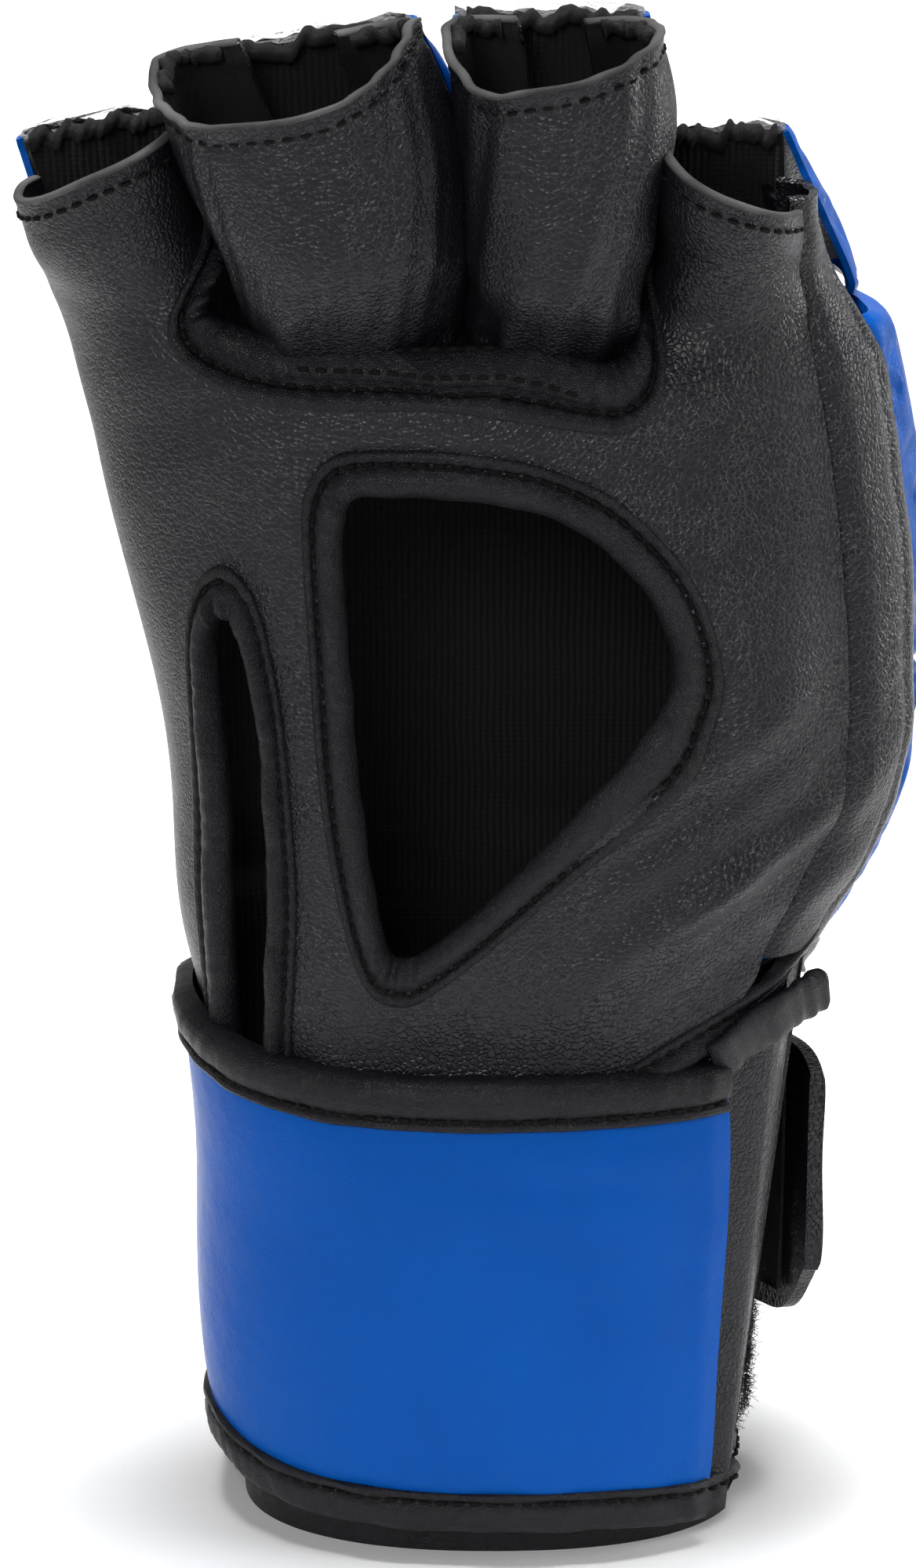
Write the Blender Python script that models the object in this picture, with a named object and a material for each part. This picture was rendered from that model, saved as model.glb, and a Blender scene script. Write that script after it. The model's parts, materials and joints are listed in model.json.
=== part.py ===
"""An open-palm mixed martial arts glove for a left hand, standing on its cuff.

The palm faces -Y, the fingers point to +Z and the thumb side is at -X. The origin is on the floor, under
the middle of the glove. Every size below is in millimetres and becomes metres when a mesh is made.

The glove is a set of sheets around a hand. A sheet is a loft: one closed loop of points for each height,
joined to the next. The loops come from horizontal sections of the hand, each a rounded outline with its own
left, right, palm and back limits.
"""

import math

import bmesh
import bpy
from mathutils import Vector

MM = 0.001
ORIGIN = (3.5, 4.2)  # x and y, in the hand's own sections, of the glove's middle
GAP = 0.4  # between neighbouring sheets
LEATHER = 2.0
LINING = 1.4
STRAP = 3.2
BINDING_PROUD = 0.8  # how far the strap's binding stands above it
ROUNDNESS = 2.3  # exponent of the rounded outlines; 2 is an ellipse

# Horizontal sections: height, left x, right x, palm y, back y, y of the widest line.
SECTIONS = (
    (0, -37.0, 48.5, -28.0, 29.0, 1),
    (27, -39.0, 50.5, -29.3, 30.0, 1),
    (56, -40.2, 51.0, -29.5, 30.5, 1),
    (78, -41.6, 51.2, -29.7, 31.0, 1),
    (88, -42.7, 52.5, -29.9, 32.0, 1),
    (101, -45.5, 60.0, -31.0, 36.0, 3),
    (120, -46.8, 70.5, -32.5, 41.0, 6),
    (145, -50.0, 75.0, -33.0, 44.0, 8),
    (172, -56.5, 73.5, -32.5, 45.0, 9),
    (206, -64.0, 68.0, -31.5, 43.0, 9),
)

# Heights of the main joints between pieces.
RIM_TOP = 8.0  # top of the binding that the glove stands on
STRAP_BOTTOM = 4.8
STRAP_TOP = 87.0
STRAP_RISE = 4.0  # how much higher the strap's top edge runs on the thumb side
STRAP_TOP_DROP = 9.0  # how far the strap's top edge has come down at the tab
STRAP_BOTTOM_RISE = 19.0
BINDING_HEIGHT = 9.6
HAND_BOTTOM = 80.0
PAD_BOTTOM = 96.0
PAD_TOP = 202.0
FLEX_BOTTOM = 189.6  # leather above this bends with the index and little fingers
FLEX_TOP = 203.0
SLOT_LIP = 197.0  # top of the palm leather under the two middle fingers
SLOT_LEFT = -43.5
SLOT_RIGHT = 33.0

# Angles round the hand: 0 faces the palm side, 90 the little finger side, 180 the back, -90 the thumb side.
RIDGE_ANGLE = 50.0
BACK_SEAM = 76.0
THUMB_SEAM = -112.0
FLAP_EDGE = 68.0
GAUNTLET_END = -306.0
STRAP_START = 62.0
STRAP_HINGE = -118.0
TAB_HINGE = -195.0
TAB_END = -278.0
HOOK_INSET = 8.0
PATCH_START = -204.0
PATCH_END = -286.0
OVERLAP_INSET = 3.0  # how far the back of the gauntlet tucks under its front flap
TAPER_START = -130.0  # from here the strap narrows towards its tab
TAPER_SWEEP = 70.0

TAB = 2.6
TAB_MARGIN = 3.0  # how much narrower than the strap the tab is, at its lower edge
TAB_CORNER = 12.0
TAB_LIFT = 1.4  # offset of the tab's inner face from the hand's surface, before its free end lifts
TAB_END_LIFT = 6.0
RIM_THICK = 2.6
PILE = 1.6
LOOP_HEIGHTS = (15, 76)
HOOK_HEIGHTS = (30, 70)

LINING_Y = 14.5
LINING_FALL = 6.0  # how far the lining curves forward at its sides
LINING_SIDE = 8.0  # gap between the lining's sides and the hand's outline
FOAM_ANGLES = (100, 240)  # the stretch of the back that the foam fills

# Outlines seen from the palm side, as x and z.
PALM_OPENING = (
    (-24.0, 170),
    (-22.6, 184.5),
    (-16.0, 188.6),
    (2.0, 188.8),
    (14.0, 186.8),
    (25.0, 181.0),
    (36.0, 168.5),
    (41.0, 153.0),
    (38.0, 141.0),
    (32.0, 131.0),
    (-2.0, 101.0),
    (-10.0, 97.0),
    (-16.0, 103.5),
    (-22.0, 135.0),
)
THUMB_OPENING = (
    (-42.4, 152.0),
    (-40.6, 164.0),
    (-36.0, 171.0),
    (-30.2, 166.0),
    (-27.6, 146.0),
    (-25.8, 122.0),
    (-26.0, 101.0),
    (-29.5, 90.4),
    (-39.0, 90.4),
    (-41.8, 101.0),
    (-42.6, 122.0),
)
OPENINGS = {  # outline, and the radius of the roll of tape round it
    "palm_opening": (PALM_OPENING, 2.7),
    "thumb_opening": (THUMB_OPENING, 1.7),
}
CUT_NEAR, CUT_FAR = -60, -2  # the y between which the openings are cut
OUTSIDE = 90  # beyond the glove on every side
SLOT_ROLL = 2.4

KNUCKLE_Y = 10.0
KNUCKLE_Z = 206.0

# A finger: hinge x, lean to the left in degrees, half widths at the knuckle and at the rim, length from the
# knuckle to the rim, how much higher the rim's right end is, palm side profile as (up, forward) points, and
# how far its pad reaches past the stall at the knuckle and at the rim, on the left and on the right.
TUCKED = ((-5, 34.5), (4, 35.5), (11, 37.5), (25, 42.5), (48, 47.0))
INDEX_FRONT = ((-5, 29.0), (4, 31.5), (14, 37.0), (31, 43.0))
LITTLE_FRONT = ((-5, 34.0), (4, 35.5), (14, 39.0), (27, 42.0))
FINGERS = {
    "index": (-50.2, 11.0, 13.4, 12.4, 31.0, 2.0, INDEX_FRONT, (0, 0), (0, 0)),
    "middle": (-17.2, 10.5, 16.6, 19.0, 43.5, 4.0, TUCKED, (0, 0), (0, 0)),
    "ring": (14.4, 1.0, 13.4, 14.8, 46.0, 8.0, TUCKED, (0, 0), (0, 0)),
    "little": (42.6, 3.5, 12.2, 10.8, 26.5, -11.0, LITTLE_FRONT, (0, 0), (11.5, 1.0)),
}
STALL_BACK = ((0, -3.6), (25, 8.0), (48, 20.5))  # lining side of a stall, as (up, forward)
PAD_BACK = ((0, -32.5), (12, -29.0), (25, -19.0), (48, 5.0))  # outer side of a finger's pad
PAD_FOOT = 0.8  # a finger's pieces start this far above its hinge line
TUCK = -4.0  # the two middle stalls reach down to here, behind the slot
FOAM_SHORT = 1.0  # the pad's foam stops this far below its cover's rim

STALL_SWEEP = 148.0
SHEET_STEP = 10.0  # degrees between points round a sheet

BLACK = (0.018, 0.018, 0.019)
BLUE = (0.008, 0.10, 0.42)
WHITE = (0.75, 0.75, 0.73)

MATERIALS = {
    "black_leather": (BLACK, 0.45),
    "black_tape": (BLACK, 0.55),
    "blue_leather": (BLUE, 0.38),
    "foam": (WHITE, 0.9),
    "knit_lining": ((0.012, 0.012, 0.013), 0.95),
    "hook_and_loop": ((0.02, 0.02, 0.022), 1.0),
}


def clear_scene():
    for old in list(bpy.data.objects):
        bpy.data.objects.remove(old)


def collection(name, hidden=False):
    made = bpy.data.collections.new(name)
    made.hide_render = hidden
    bpy.context.scene.collection.children.link(made)
    return made


def body(name, x, y, z, parts, parent=None):
    """An empty on a moving body's hinge axis. The pieces keep the glove's own coordinates under it."""
    made = bpy.data.objects.new(name, None)
    made.empty_display_size = 10 * MM
    place = Vector((x, y, z)) * MM
    made["place"] = place
    made.parent = parent
    made.location = place - Vector(parent["place"]) if parent else place - Vector((*ORIGIN, 0)) * MM
    parts.objects.link(made)
    return made


def attach(pieces, owner):
    for piece in pieces:
        piece.parent = owner
        piece.location -= Vector(owner["place"])


def material(name):
    found = bpy.data.materials.get(name)
    if found:
        return found
    colour, roughness = MATERIALS[name]
    made = bpy.data.materials.new(name)
    made.use_nodes = True
    shader = made.node_tree.nodes["Principled BSDF"]
    shader.inputs["Base Color"].default_value = (*colour, 1)
    shader.inputs["Roughness"].default_value = roughness
    shader.inputs["Metallic"].default_value = 0
    return made


def curve_through(points, at):
    """Value at a place on a smooth curve through (place, value) points, sloped by each one's neighbours."""
    places = [p[0] for p in points]
    values = [p[1] for p in points]
    last = len(points) - 1
    i = max(0, min(last - 1, sum(at > p for p in places) - 1))

    def slope(k):
        before, after = max(0, k - 1), min(last, k + 1)
        return (values[after] - values[before]) / (places[after] - places[before])

    width = places[i + 1] - places[i]
    t = min(1.0, max(0.0, (at - places[i]) / width))
    rise = values[i + 1] - values[i]
    start, end = slope(i) * width, slope(i + 1) * width
    cubic = start + end - 2 * rise
    return values[i] + start * t + (3 * rise - 2 * start - end) * t**2 + cubic * t**3


def section(z):
    """Left x, right x, palm y, back y and widest y of the hand at a height."""
    return [curve_through([(row[0], row[k]) for row in SECTIONS], z) for k in range(1, 6)]


def rounded(value):
    return math.copysign(abs(value) ** (2 / ROUNDNESS), value)


def outline_point(angle, z, out):
    left, right, palm, back, widest = section(z)
    a = math.radians(angle)
    across = (right - left) / 2 + out
    deep = (widest - palm if math.cos(a) > 0 else back - widest) + out
    return Vector((
        (left + right) / 2 + across * rounded(math.sin(a)),
        widest - deep * rounded(math.cos(a)),
        z,
    ))


def hand_point(angle, z, out=0.0):
    """Point on the hand's outer surface, moved outwards by out.

    Sheets that lie on each other bend at the same angles, the multiples of SHEET_STEP, so that their gap
    stays even.
    """
    low = math.floor(angle / SHEET_STEP) * SHEET_STEP
    share = (angle - low) / SHEET_STEP
    return outline_point(low, z, out).lerp(outline_point(low + SHEET_STEP, z, out), share)


def angle_at(x, z):
    """Angle on the palm side at which the hand's outer surface passes x."""
    left, right = section(z)[:2]
    share = (x - (left + right) / 2) / ((right - left) / 2)
    share = max(-1.0, min(1.0, share))
    return math.degrees(math.asin(math.copysign(abs(share) ** (ROUNDNESS / 2), share)))


def spread(start, end, step):
    count = max(2, round(abs(end - start) / step) + 1)
    return [start + (end - start) * i / (count - 1) for i in range(count)]


def bends(start, end):
    """The angles from start to end at which a sheet has points: its ends and multiples of SHEET_STEP."""
    low, high = min(start, end), max(start, end)
    first = math.floor(low / SHEET_STEP) + 1
    inside = [k * SHEET_STEP for k in range(first, math.ceil(high / SHEET_STEP))]
    inside = [a for a in inside if a - low > 0.1 and high - a > 0.1]
    made = [low, *inside, high]
    return made if start < end else made[::-1]


def cap_faces(row, paired):
    """Faces that close one end of a loft: quads across a sheet's thickness, or one flat face."""
    if not paired:
        return [row]
    last = len(row) - 1
    return [(row[i], row[i + 1], row[last - i - 1], row[last - i]) for i in range(len(row) // 2 - 1)]


def loft(name, loops, slot, parts, paired=True):
    """A closed solid through loops of points that all have the same count.

    A paired loop runs out along one face of a sheet and back along the other, point for point.
    """
    mesh = bmesh.new()
    rows = [[mesh.verts.new(Vector(p) * MM) for p in loop] for loop in loops]
    count = len(rows[0])
    for low, high in zip(rows, rows[1:]):
        for i in range(count):
            j = (i + 1) % count
            mesh.faces.new((low[i], low[j], high[j], high[i]))
    for row in (rows[0], rows[-1]):
        for face in cap_faces(row, paired):
            mesh.faces.new(face)
    bmesh.ops.recalc_face_normals(mesh, faces=mesh.faces)
    return finish(name, mesh, slot, parts)


def finish(name, mesh, slot, parts):
    data = bpy.data.meshes.new(name)
    mesh.to_mesh(data)
    mesh.free()
    data.materials.append(material(slot))
    data.shade_smooth()
    data.set_sharp_from_angle(angle=math.radians(40))
    made = bpy.data.objects.new(name, data)
    parts.objects.link(made)
    return made


def sheet_loop(angles, z, outer, inner):
    """Closed loop round a sheet at one height: out along its outer face, and back along its inner face."""
    there = [hand_point(a, z, outer(a)) for a in angles]
    back = [hand_point(a, z, inner(a)) for a in reversed(angles)]
    return there + back


def wrap(name, angles, heights, slot, parts, outer=0.0, inner=-LEATHER):
    """A sheet round the hand. outer and inner are offsets from its surface, or functions of the angle."""
    outside = outer if callable(outer) else lambda a: outer
    inside = inner if callable(inner) else lambda a: inner
    loops = [sheet_loop(angles, z, outside, inside) for z in heights]
    return loft(name, loops, slot, parts)


def box_cutter(name, low, high, cutters):
    bpy.ops.mesh.primitive_cube_add(size=1)
    made = bpy.context.object
    made.name = name
    low, high = Vector(low), Vector(high)
    made.location = (low + high) / 2 * MM
    made.scale = (high - low) * MM
    bpy.context.view_layer.update()
    move_to(made, cutters)
    return made


def move_to(made, group):
    for owner in list(made.users_collection):
        owner.objects.unlink(made)
    group.objects.link(made)
    made.hide_render = group.hide_render
    if group.hide_render:
        made.display_type = "WIRE"


def outline_cutter(name, outline, near, far, cutters):
    """A prism through an outline of x and z points, from y near to y far."""
    mesh = bmesh.new()
    front = [mesh.verts.new(Vector((x, near, z)) * MM) for x, z in outline]
    rear = [mesh.verts.new(Vector((x, far, z)) * MM) for x, z in outline]
    for i in range(len(outline)):
        j = (i + 1) % len(outline)
        mesh.faces.new((front[i], front[j], rear[j], rear[i]))
    mesh.faces.new(front)
    mesh.faces.new(rear)
    bmesh.ops.recalc_face_normals(mesh, faces=mesh.faces)
    data = bpy.data.meshes.new(name)
    mesh.to_mesh(data)
    mesh.free()
    made = bpy.data.objects.new(name, data)
    move_to(made, cutters)
    return made


def cut(target, cutter):
    modifier = target.modifiers.new(cutter.name, "BOOLEAN")
    modifier.operation = "DIFFERENCE"
    modifier.solver = "EXACT"
    modifier.object = cutter


def smooth_outline(points, per_span=3):
    """Points on a closed smooth curve through the outline's own points."""
    made = []
    count = len(points)
    for i in range(count):
        p0, p1, p2, p3 = (Vector(points[(i + k) % count]) for k in (-1, 0, 1, 2))
        for step in range(per_span):
            t = step / per_span
            made.append(
                0.5
                * (
                    2 * p1
                    + (p2 - p0) * t
                    + (2 * p0 - 5 * p1 + 4 * p2 - p3) * t**2
                    + (3 * p1 - p0 - 3 * p2 + p3) * t**3
                )
            )
    return made


def inset_outline(outline, distance):
    """The outline moved towards its inside. The outlines run clockwise as seen from the palm side."""
    moved = []
    for i, p in enumerate(outline):
        along = (outline[(i + 1) % len(outline)] - outline[i - 1]).normalized()
        moved.append(p + Vector((along.y, -along.x)) * distance)
    return moved


def tube(name, points, radius, slot, parts, cyclic=False):
    """A round roll of tape along points in millimetres."""
    data = bpy.data.curves.new(name, "CURVE")
    data.dimensions = "3D"
    data.bevel_depth = radius * MM
    data.bevel_resolution = 2
    data.use_fill_caps = not cyclic
    line = data.splines.new("POLY")
    line.points.add(len(points) - 1)
    for place, p in zip(line.points, points):
        place.co = (*(Vector(p) * MM), 1)
    line.use_cyclic_u = cyclic
    data.materials.append(material(slot))
    made = bpy.data.objects.new(name, data)
    parts.objects.link(made)
    return made


def roll_path(outline, depth):
    """An x and z outline laid on the palm side, sunk towards the back by depth."""
    return [hand_point(angle_at(x, z), z) + Vector((0, depth, 0)) for x, z in outline]


def make_palm(parts, cutters):
    angles = bends(THUMB_SEAM, RIDGE_ANGLE)
    heights = (HAND_BOTTOM, 88, 95, 101, 110, 120, 133, 145, 158, 172, 184, SLOT_LIP)
    palm = wrap("palm_panel", angles, heights, "black_leather", parts)
    for name, (points, roll) in OPENINGS.items():
        outline = smooth_outline(points)
        cut(palm, outline_cutter(name + "_cutter", outline, CUT_NEAR, CUT_FAR, cutters))
        path = roll_path(inset_outline(outline, roll + 3 * GAP), roll + GAP)
        tube(name + "_binding", path, roll, "black_tape", parts, cyclic=True)
    top = SLOT_LIP + 5
    index_side = (-OUTSIDE, -OUTSIDE, FLEX_BOTTOM), (SLOT_LEFT, OUTSIDE, top)
    little_side = (SLOT_RIGHT, -OUTSIDE, FLEX_BOTTOM), (OUTSIDE, OUTSIDE, top)
    cut(palm, box_cutter("index_corner", *index_side, cutters))
    cut(palm, box_cutter("little_corner", *little_side, cutters))


def make_slot_binding(parts):
    centre = SLOT_LIP + SLOT_ROLL + GAP
    path = [
        hand_point(angle_at(x, SLOT_LIP), centre, -SLOT_ROLL)
        for x in spread(SLOT_LEFT + 3, SLOT_RIGHT - 3, 5)
    ]
    tube("finger_slot_binding", path, SLOT_ROLL, "black_tape", parts)


def make_flex_leather(parts):
    """The palm leather that crumples where the index and little fingers bend."""
    heights = (FLEX_BOTTOM + GAP, 196, FLEX_TOP)
    left = bends(THUMB_SEAM, angle_at(SLOT_LEFT - LEATHER - GAP, FLEX_BOTTOM))
    right = bends(angle_at(SLOT_RIGHT + LEATHER + GAP, FLEX_TOP), BACK_SEAM - 1)
    wrap("index_flex_leather", left, heights, "black_leather", parts)
    wrap("little_flex_leather", right, heights, "black_leather", parts)


def make_side_panel(parts):
    angles = bends(RIDGE_ANGLE + 0.6, BACK_SEAM - 1)
    heights = (PAD_BOTTOM + 1, 108, 120, 133, 145, 158, 172, FLEX_BOTTOM)
    wrap("side_panel", angles, heights, "black_leather", parts)


def lining_y(x, z):
    left, right = section(z)[:2]
    share = abs(x - (left + right) / 2) / ((right - left) / 2)
    return LINING_Y - LINING_FALL * share**3


def lining_loop(z, front, back, side_gap):
    """Closed loop of the lining at one height, between two offsets from its middle face."""
    left, right = section(z)[:2]
    places = [left + side_gap + (right - left - 2 * side_gap) * i / 8 for i in range(9)]
    there = [(x, lining_y(x, z) + front, z) for x in places]
    return there + [(x, lining_y(x, z) + back, z) for x in reversed(places)]


def foam_loop(z):
    """Closed loop of the back pad's foam: its outer face, then the flat face against the lining."""
    outer = [hand_point(a, z, -LEATHER - GAP) for a in bends(*FOAM_ANGLES)]
    xs = [outer[-1].x + (outer[0].x - outer[-1].x) * i / 6 for i in range(1, 6)]
    inner = [(x, lining_y(x, z) + LINING / 2 + 2 * GAP, z) for x in xs]
    return outer + inner


def make_back(parts):
    heights = (PAD_BOTTOM, 104, 112, 122, 134, 147, 160, 174, 188, PAD_TOP)
    loft("back_pad_foam", [foam_loop(z) for z in heights[1:]], "foam", parts, paired=False)
    cover_angles = bends(BACK_SEAM, 360 + THUMB_SEAM - 0.6)
    wrap("back_pad_cover", cover_angles, heights, "blue_leather", parts)
    lining_heights = (100, 120, 145, 172, PAD_TOP)
    lining = [lining_loop(z, -LINING / 2, LINING / 2, LINING_SIDE) for z in lining_heights]
    loft("back_lining", lining, "knit_lining", parts)


def tucked(angle):
    """Offset of the gauntlet's outer face: its far end winds in under the front flap."""
    return -OVERLAP_INSET * smooth_step((-150 - angle) / 70)


def make_gauntlet(parts):
    angles = bends(FLAP_EDGE, GAUNTLET_END)
    inner = lambda a: tucked(a) - LEATHER
    heights = (RIM_TOP + GAP, 27, 56, 70, HAND_BOTTOM - GAP)
    wrap("gauntlet", angles, heights, "black_leather", parts, tucked, inner)
    rim_inner = lambda a: tucked(a) - RIM_THICK
    wrap("gauntlet_rim_binding", angles, (0, RIM_TOP), "black_tape", parts, tucked, rim_inner)


def make_slit_binding(parts):
    """The bound lower edge of the palm leather, which slants up to the little finger side."""
    points = [(34, 90.4), (43, 92.6), (51, 96.0), (55.5, 99.5)]
    path = [hand_point(angle_at(x, z), z, SLOT_ROLL + GAP) for x, z in points]
    tube("wrist_slit_binding", path, SLOT_ROLL, "black_tape", parts)


def strap_strip(name, angles, edges, slot, parts, outer, inner):
    """A piece of the strap. edges gives its lower and upper edge's height, and like outer and inner it is a
    function of the angle, because the strap rises and tapers."""
    loops = []
    for share in (0.0, 0.5, 1.0):
        heights = [low + (high - low) * share for low, high in map(edges, angles)]
        there = [hand_point(a, z, outer(a)) for a, z in zip(angles, heights)]
        back = [hand_point(a, z, inner(a)) for a, z in zip(angles, heights)]
        loops.append(there + back[::-1])
    return loft(name, loops, slot, parts)


def strap_top(angle):
    """Height of the strap's top edge: highest at the thumb side, and lower at the tab."""
    rise = STRAP_RISE * math.exp(-(((angle + 95) / 50) ** 2))
    drop = STRAP_TOP_DROP * smooth_step((TAPER_START - angle) / TAPER_SWEEP)
    return STRAP_TOP + rise - drop


def strap_bottom(angle):
    return STRAP_BOTTOM + STRAP_BOTTOM_RISE * smooth_step((TAPER_START - angle) / TAPER_SWEEP)


def smooth_step(share):
    share = max(0.0, min(1.0, share))
    return share * share * (3 - 2 * share)


def make_strap_part(prefix, start, end, parts):
    """A stretch of the wide strap: its panel, and the binding tape on its two long edges."""
    angles = bends(start, end)
    thick = lambda a: GAP + STRAP
    thin = lambda a: GAP
    rolled = lambda a: GAP + STRAP + BINDING_PROUD
    seam = BINDING_HEIGHT + GAP
    panel = lambda a: (strap_bottom(a) + seam, strap_top(a) - seam)
    bottom = lambda a: (strap_bottom(a), strap_bottom(a) + BINDING_HEIGHT)
    top = lambda a: (strap_top(a) - BINDING_HEIGHT, strap_top(a))
    strap_strip(prefix + "_panel", angles, panel, "blue_leather", parts, thick, thin)
    strap_strip(prefix + "_bottom_binding", angles, bottom, "black_tape", parts, rolled, thin)
    strap_strip(prefix + "_top_binding", angles, top, "black_tape", parts, rolled, thin)


def tab_out(angle):
    """Offset of the tab's inner face: its free end stands a little off the wrist."""
    return TAB_LIFT + TAB_END_LIFT * smooth_step((-240 - angle) / 40)


def tab_edges(angle):
    """Heights of the tab's lower and upper edge, with its corners rounded off."""
    corner = TAB_CORNER * smooth_step((-258 - angle) / 20) ** 2
    return strap_bottom(angle) + TAB_MARGIN + corner, strap_top(angle) - 2 - 0.6 * corner


def make_tab(parts):
    angles = bends(TAB_HINGE - 1, TAB_END)
    outer = lambda a: tab_out(a) + TAB
    strap_strip("strap_tab", angles, tab_edges, "black_leather", parts, outer, tab_out)
    hook_angles = bends(PATCH_START - HOOK_INSET, PATCH_END + 3 * HOOK_INSET)
    hook_edges = lambda a: HOOK_HEIGHTS
    face = lambda a: tab_out(a) - GAP
    seat = lambda a: -GAP / 2
    strap_strip("hook_patch", hook_angles, hook_edges, "hook_and_loop", parts, face, seat)


def make_loop_patch(parts):
    loop_angles = bends(PATCH_START, PATCH_END)
    loop_edges = lambda a: LOOP_HEIGHTS
    base = lambda a: tucked(a) + GAP
    pile = lambda a: tucked(a) + GAP + PILE
    strap_strip("loop_patch", loop_angles, loop_edges, "hook_and_loop", parts, pile, base)


class Finger:
    """One finger in its own frame: across, up and forward from the middle of its knuckle hinge."""

    def __init__(self, name):
        self.name = name
        row = FINGERS[name]
        self.x, self.lean, self.low_width, self.high_width, self.length, self.slant = row[:6]
        self.front, self.pad_left, self.pad_right = row[6:]

    def place(self, across, up, forward):
        lean = math.radians(self.lean)
        slanted = up + self.slant * across / (2 * self.high_width) * max(0.0, up / self.length)
        return (
            self.x + across * math.cos(lean) - slanted * math.sin(lean),
            KNUCKLE_Y - forward,
            KNUCKLE_Z + across * math.sin(lean) + slanted * math.cos(lean),
        )

    def width(self, up):
        share = max(0.0, up / self.length)
        return self.low_width + (self.high_width - self.low_width) * share

    def reach(self, side, up):
        """How far the pad reaches past the stall on one side."""
        share = max(0.0, up / self.length)
        return side[0] + (side[1] - side[0]) * share

    def stall_loop(self, up):
        rear = curve_through(STALL_BACK, up) + GAP
        front = curve_through(self.front, up)
        middle, deep, wide = (front + rear) / 2, (front - rear) / 2, self.width(up)
        angles = [math.radians(a) for a in spread(-STALL_SWEEP, STALL_SWEEP, 21)]
        there = [
            self.place(wide * rounded(math.sin(a)), up, middle + deep * rounded(math.cos(a)))
            for a in angles
        ]
        back = [
            self.place(
                (wide - LEATHER) * rounded(math.sin(a)),
                up,
                middle + (deep - LEATHER) * rounded(math.cos(a)),
            )
            for a in reversed(angles)
        ]
        return there + back

    def pad_loop(self, up, inset, from_lining):
        """Closed loop of the pad, its outer face first, inset from the cover's outside."""
        rear = curve_through(STALL_BACK, up) - from_lining
        outer = curve_through(PAD_BACK, up) + inset
        left = -self.width(up) - self.reach(self.pad_left, up) + inset
        right = self.width(up) + self.reach(self.pad_right, up) - inset
        middle, wide = (left + right) / 2, (right - left) / 2
        arc = [math.radians(a) for a in spread(-90, 90, 18)]
        thick = outer - rear
        return [
            self.place(middle + wide * rounded(math.sin(a)), up, rear + thick * rounded(math.cos(a)))
            for a in arc
        ]

    def make(self, parts):
        ups = [PAD_FOOT + (self.length - PAD_FOOT) * share for share in (0, 0.2, 0.4, 0.6, 0.8, 1)]
        low = [TUCK] if self.front is TUCKED else []
        loft(f"{self.name}_stall", [self.stall_loop(u) for u in low + ups], "black_leather", parts)
        lining = []
        for up in ups:
            rear = curve_through(STALL_BACK, up)
            wide = self.width(up) - 2
            front = [self.place(wide * s, up, rear) for s in (-1, 0, 1)]
            back = [self.place(wide * s, up, rear - LINING) for s in (1, 0, -1)]
            lining.append(front + back)
        loft(f"{self.name}_lining", lining, "knit_lining", parts)
        foam_ups = ups[:-1] + [self.length - FOAM_SHORT]
        seat = LINING + GAP
        loft(
            f"{self.name}_pad_foam",
            [self.pad_loop(u, LEATHER + GAP, seat) for u in foam_ups],
            "foam",
            parts,
            paired=False,
        )
        cover = [self.pad_loop(u, 0, seat) + self.pad_loop(u, LEATHER, seat)[::-1] for u in ups]
        loft(f"{self.name}_pad_cover", cover, "blue_leather", parts)


def strap_hinge(angle):
    """Place of a vertical hinge that clears the strap's outermost edge, which is its flared top."""
    place = hand_point(angle, STRAP_TOP + STRAP_RISE, GAP + STRAP + BINDING_PROUD)
    place.z = (STRAP_TOP + STRAP_BOTTOM) / 2
    return place


def main():
    clear_scene()
    parts = collection("mma_glove")
    cutters = collection("cutters", hidden=True)

    def made_by(make, *args):
        before = set(bpy.data.objects)
        make(*args)
        return [piece for piece in bpy.data.objects if piece not in before]

    hand = body("hand", 0, 0, 0, parts)
    attach(made_by(make_palm, parts, cutters), hand)
    attach(made_by(make_slot_binding, parts), hand)
    attach(made_by(make_flex_leather, parts), hand)
    attach(made_by(make_side_panel, parts), hand)
    attach(made_by(make_back, parts), hand)
    attach(made_by(make_gauntlet, parts), hand)
    attach(made_by(make_loop_patch, parts), hand)
    attach(made_by(make_slit_binding, parts), hand)
    attach(made_by(make_strap_part, "wrist_strap", STRAP_START, STRAP_HINGE, parts), hand)
    peel = body("back_strap", *strap_hinge(STRAP_HINGE), parts, hand)
    attach(made_by(make_strap_part, "back_strap", STRAP_HINGE - 1, TAB_HINGE, parts), peel)
    tab = body("tab", *strap_hinge(TAB_HINGE), parts, peel)
    attach(made_by(make_tab, parts), tab)
    for name in FINGERS:
        finger = Finger(name)
        knuckle = body(name, finger.x, KNUCKLE_Y, KNUCKLE_Z, parts, hand)
        attach(made_by(finger.make, parts), knuckle)


main()
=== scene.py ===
"""The glove's looks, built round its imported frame.

Shapes are worked out in millimetres, in the coordinates of the hand's own sections: x to the little finger's side,
y to the back of the hand, z to the fingertips. place() turns them into the frame's metres.
"""

import json
import math
import random

import bpy
import numpy as np
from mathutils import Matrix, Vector
from mathutils.geometry import delaunay_2d_cdt


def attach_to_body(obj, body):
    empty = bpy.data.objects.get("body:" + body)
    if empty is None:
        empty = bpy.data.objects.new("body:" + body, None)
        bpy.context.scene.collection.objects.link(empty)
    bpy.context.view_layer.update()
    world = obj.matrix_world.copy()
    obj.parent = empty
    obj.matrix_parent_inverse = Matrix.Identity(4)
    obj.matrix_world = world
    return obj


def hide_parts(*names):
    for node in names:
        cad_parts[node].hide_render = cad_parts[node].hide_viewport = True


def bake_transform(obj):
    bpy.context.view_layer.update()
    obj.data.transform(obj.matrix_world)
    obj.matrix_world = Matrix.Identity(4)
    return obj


MM = 0.001
ROUNDNESS = 2.3

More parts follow.
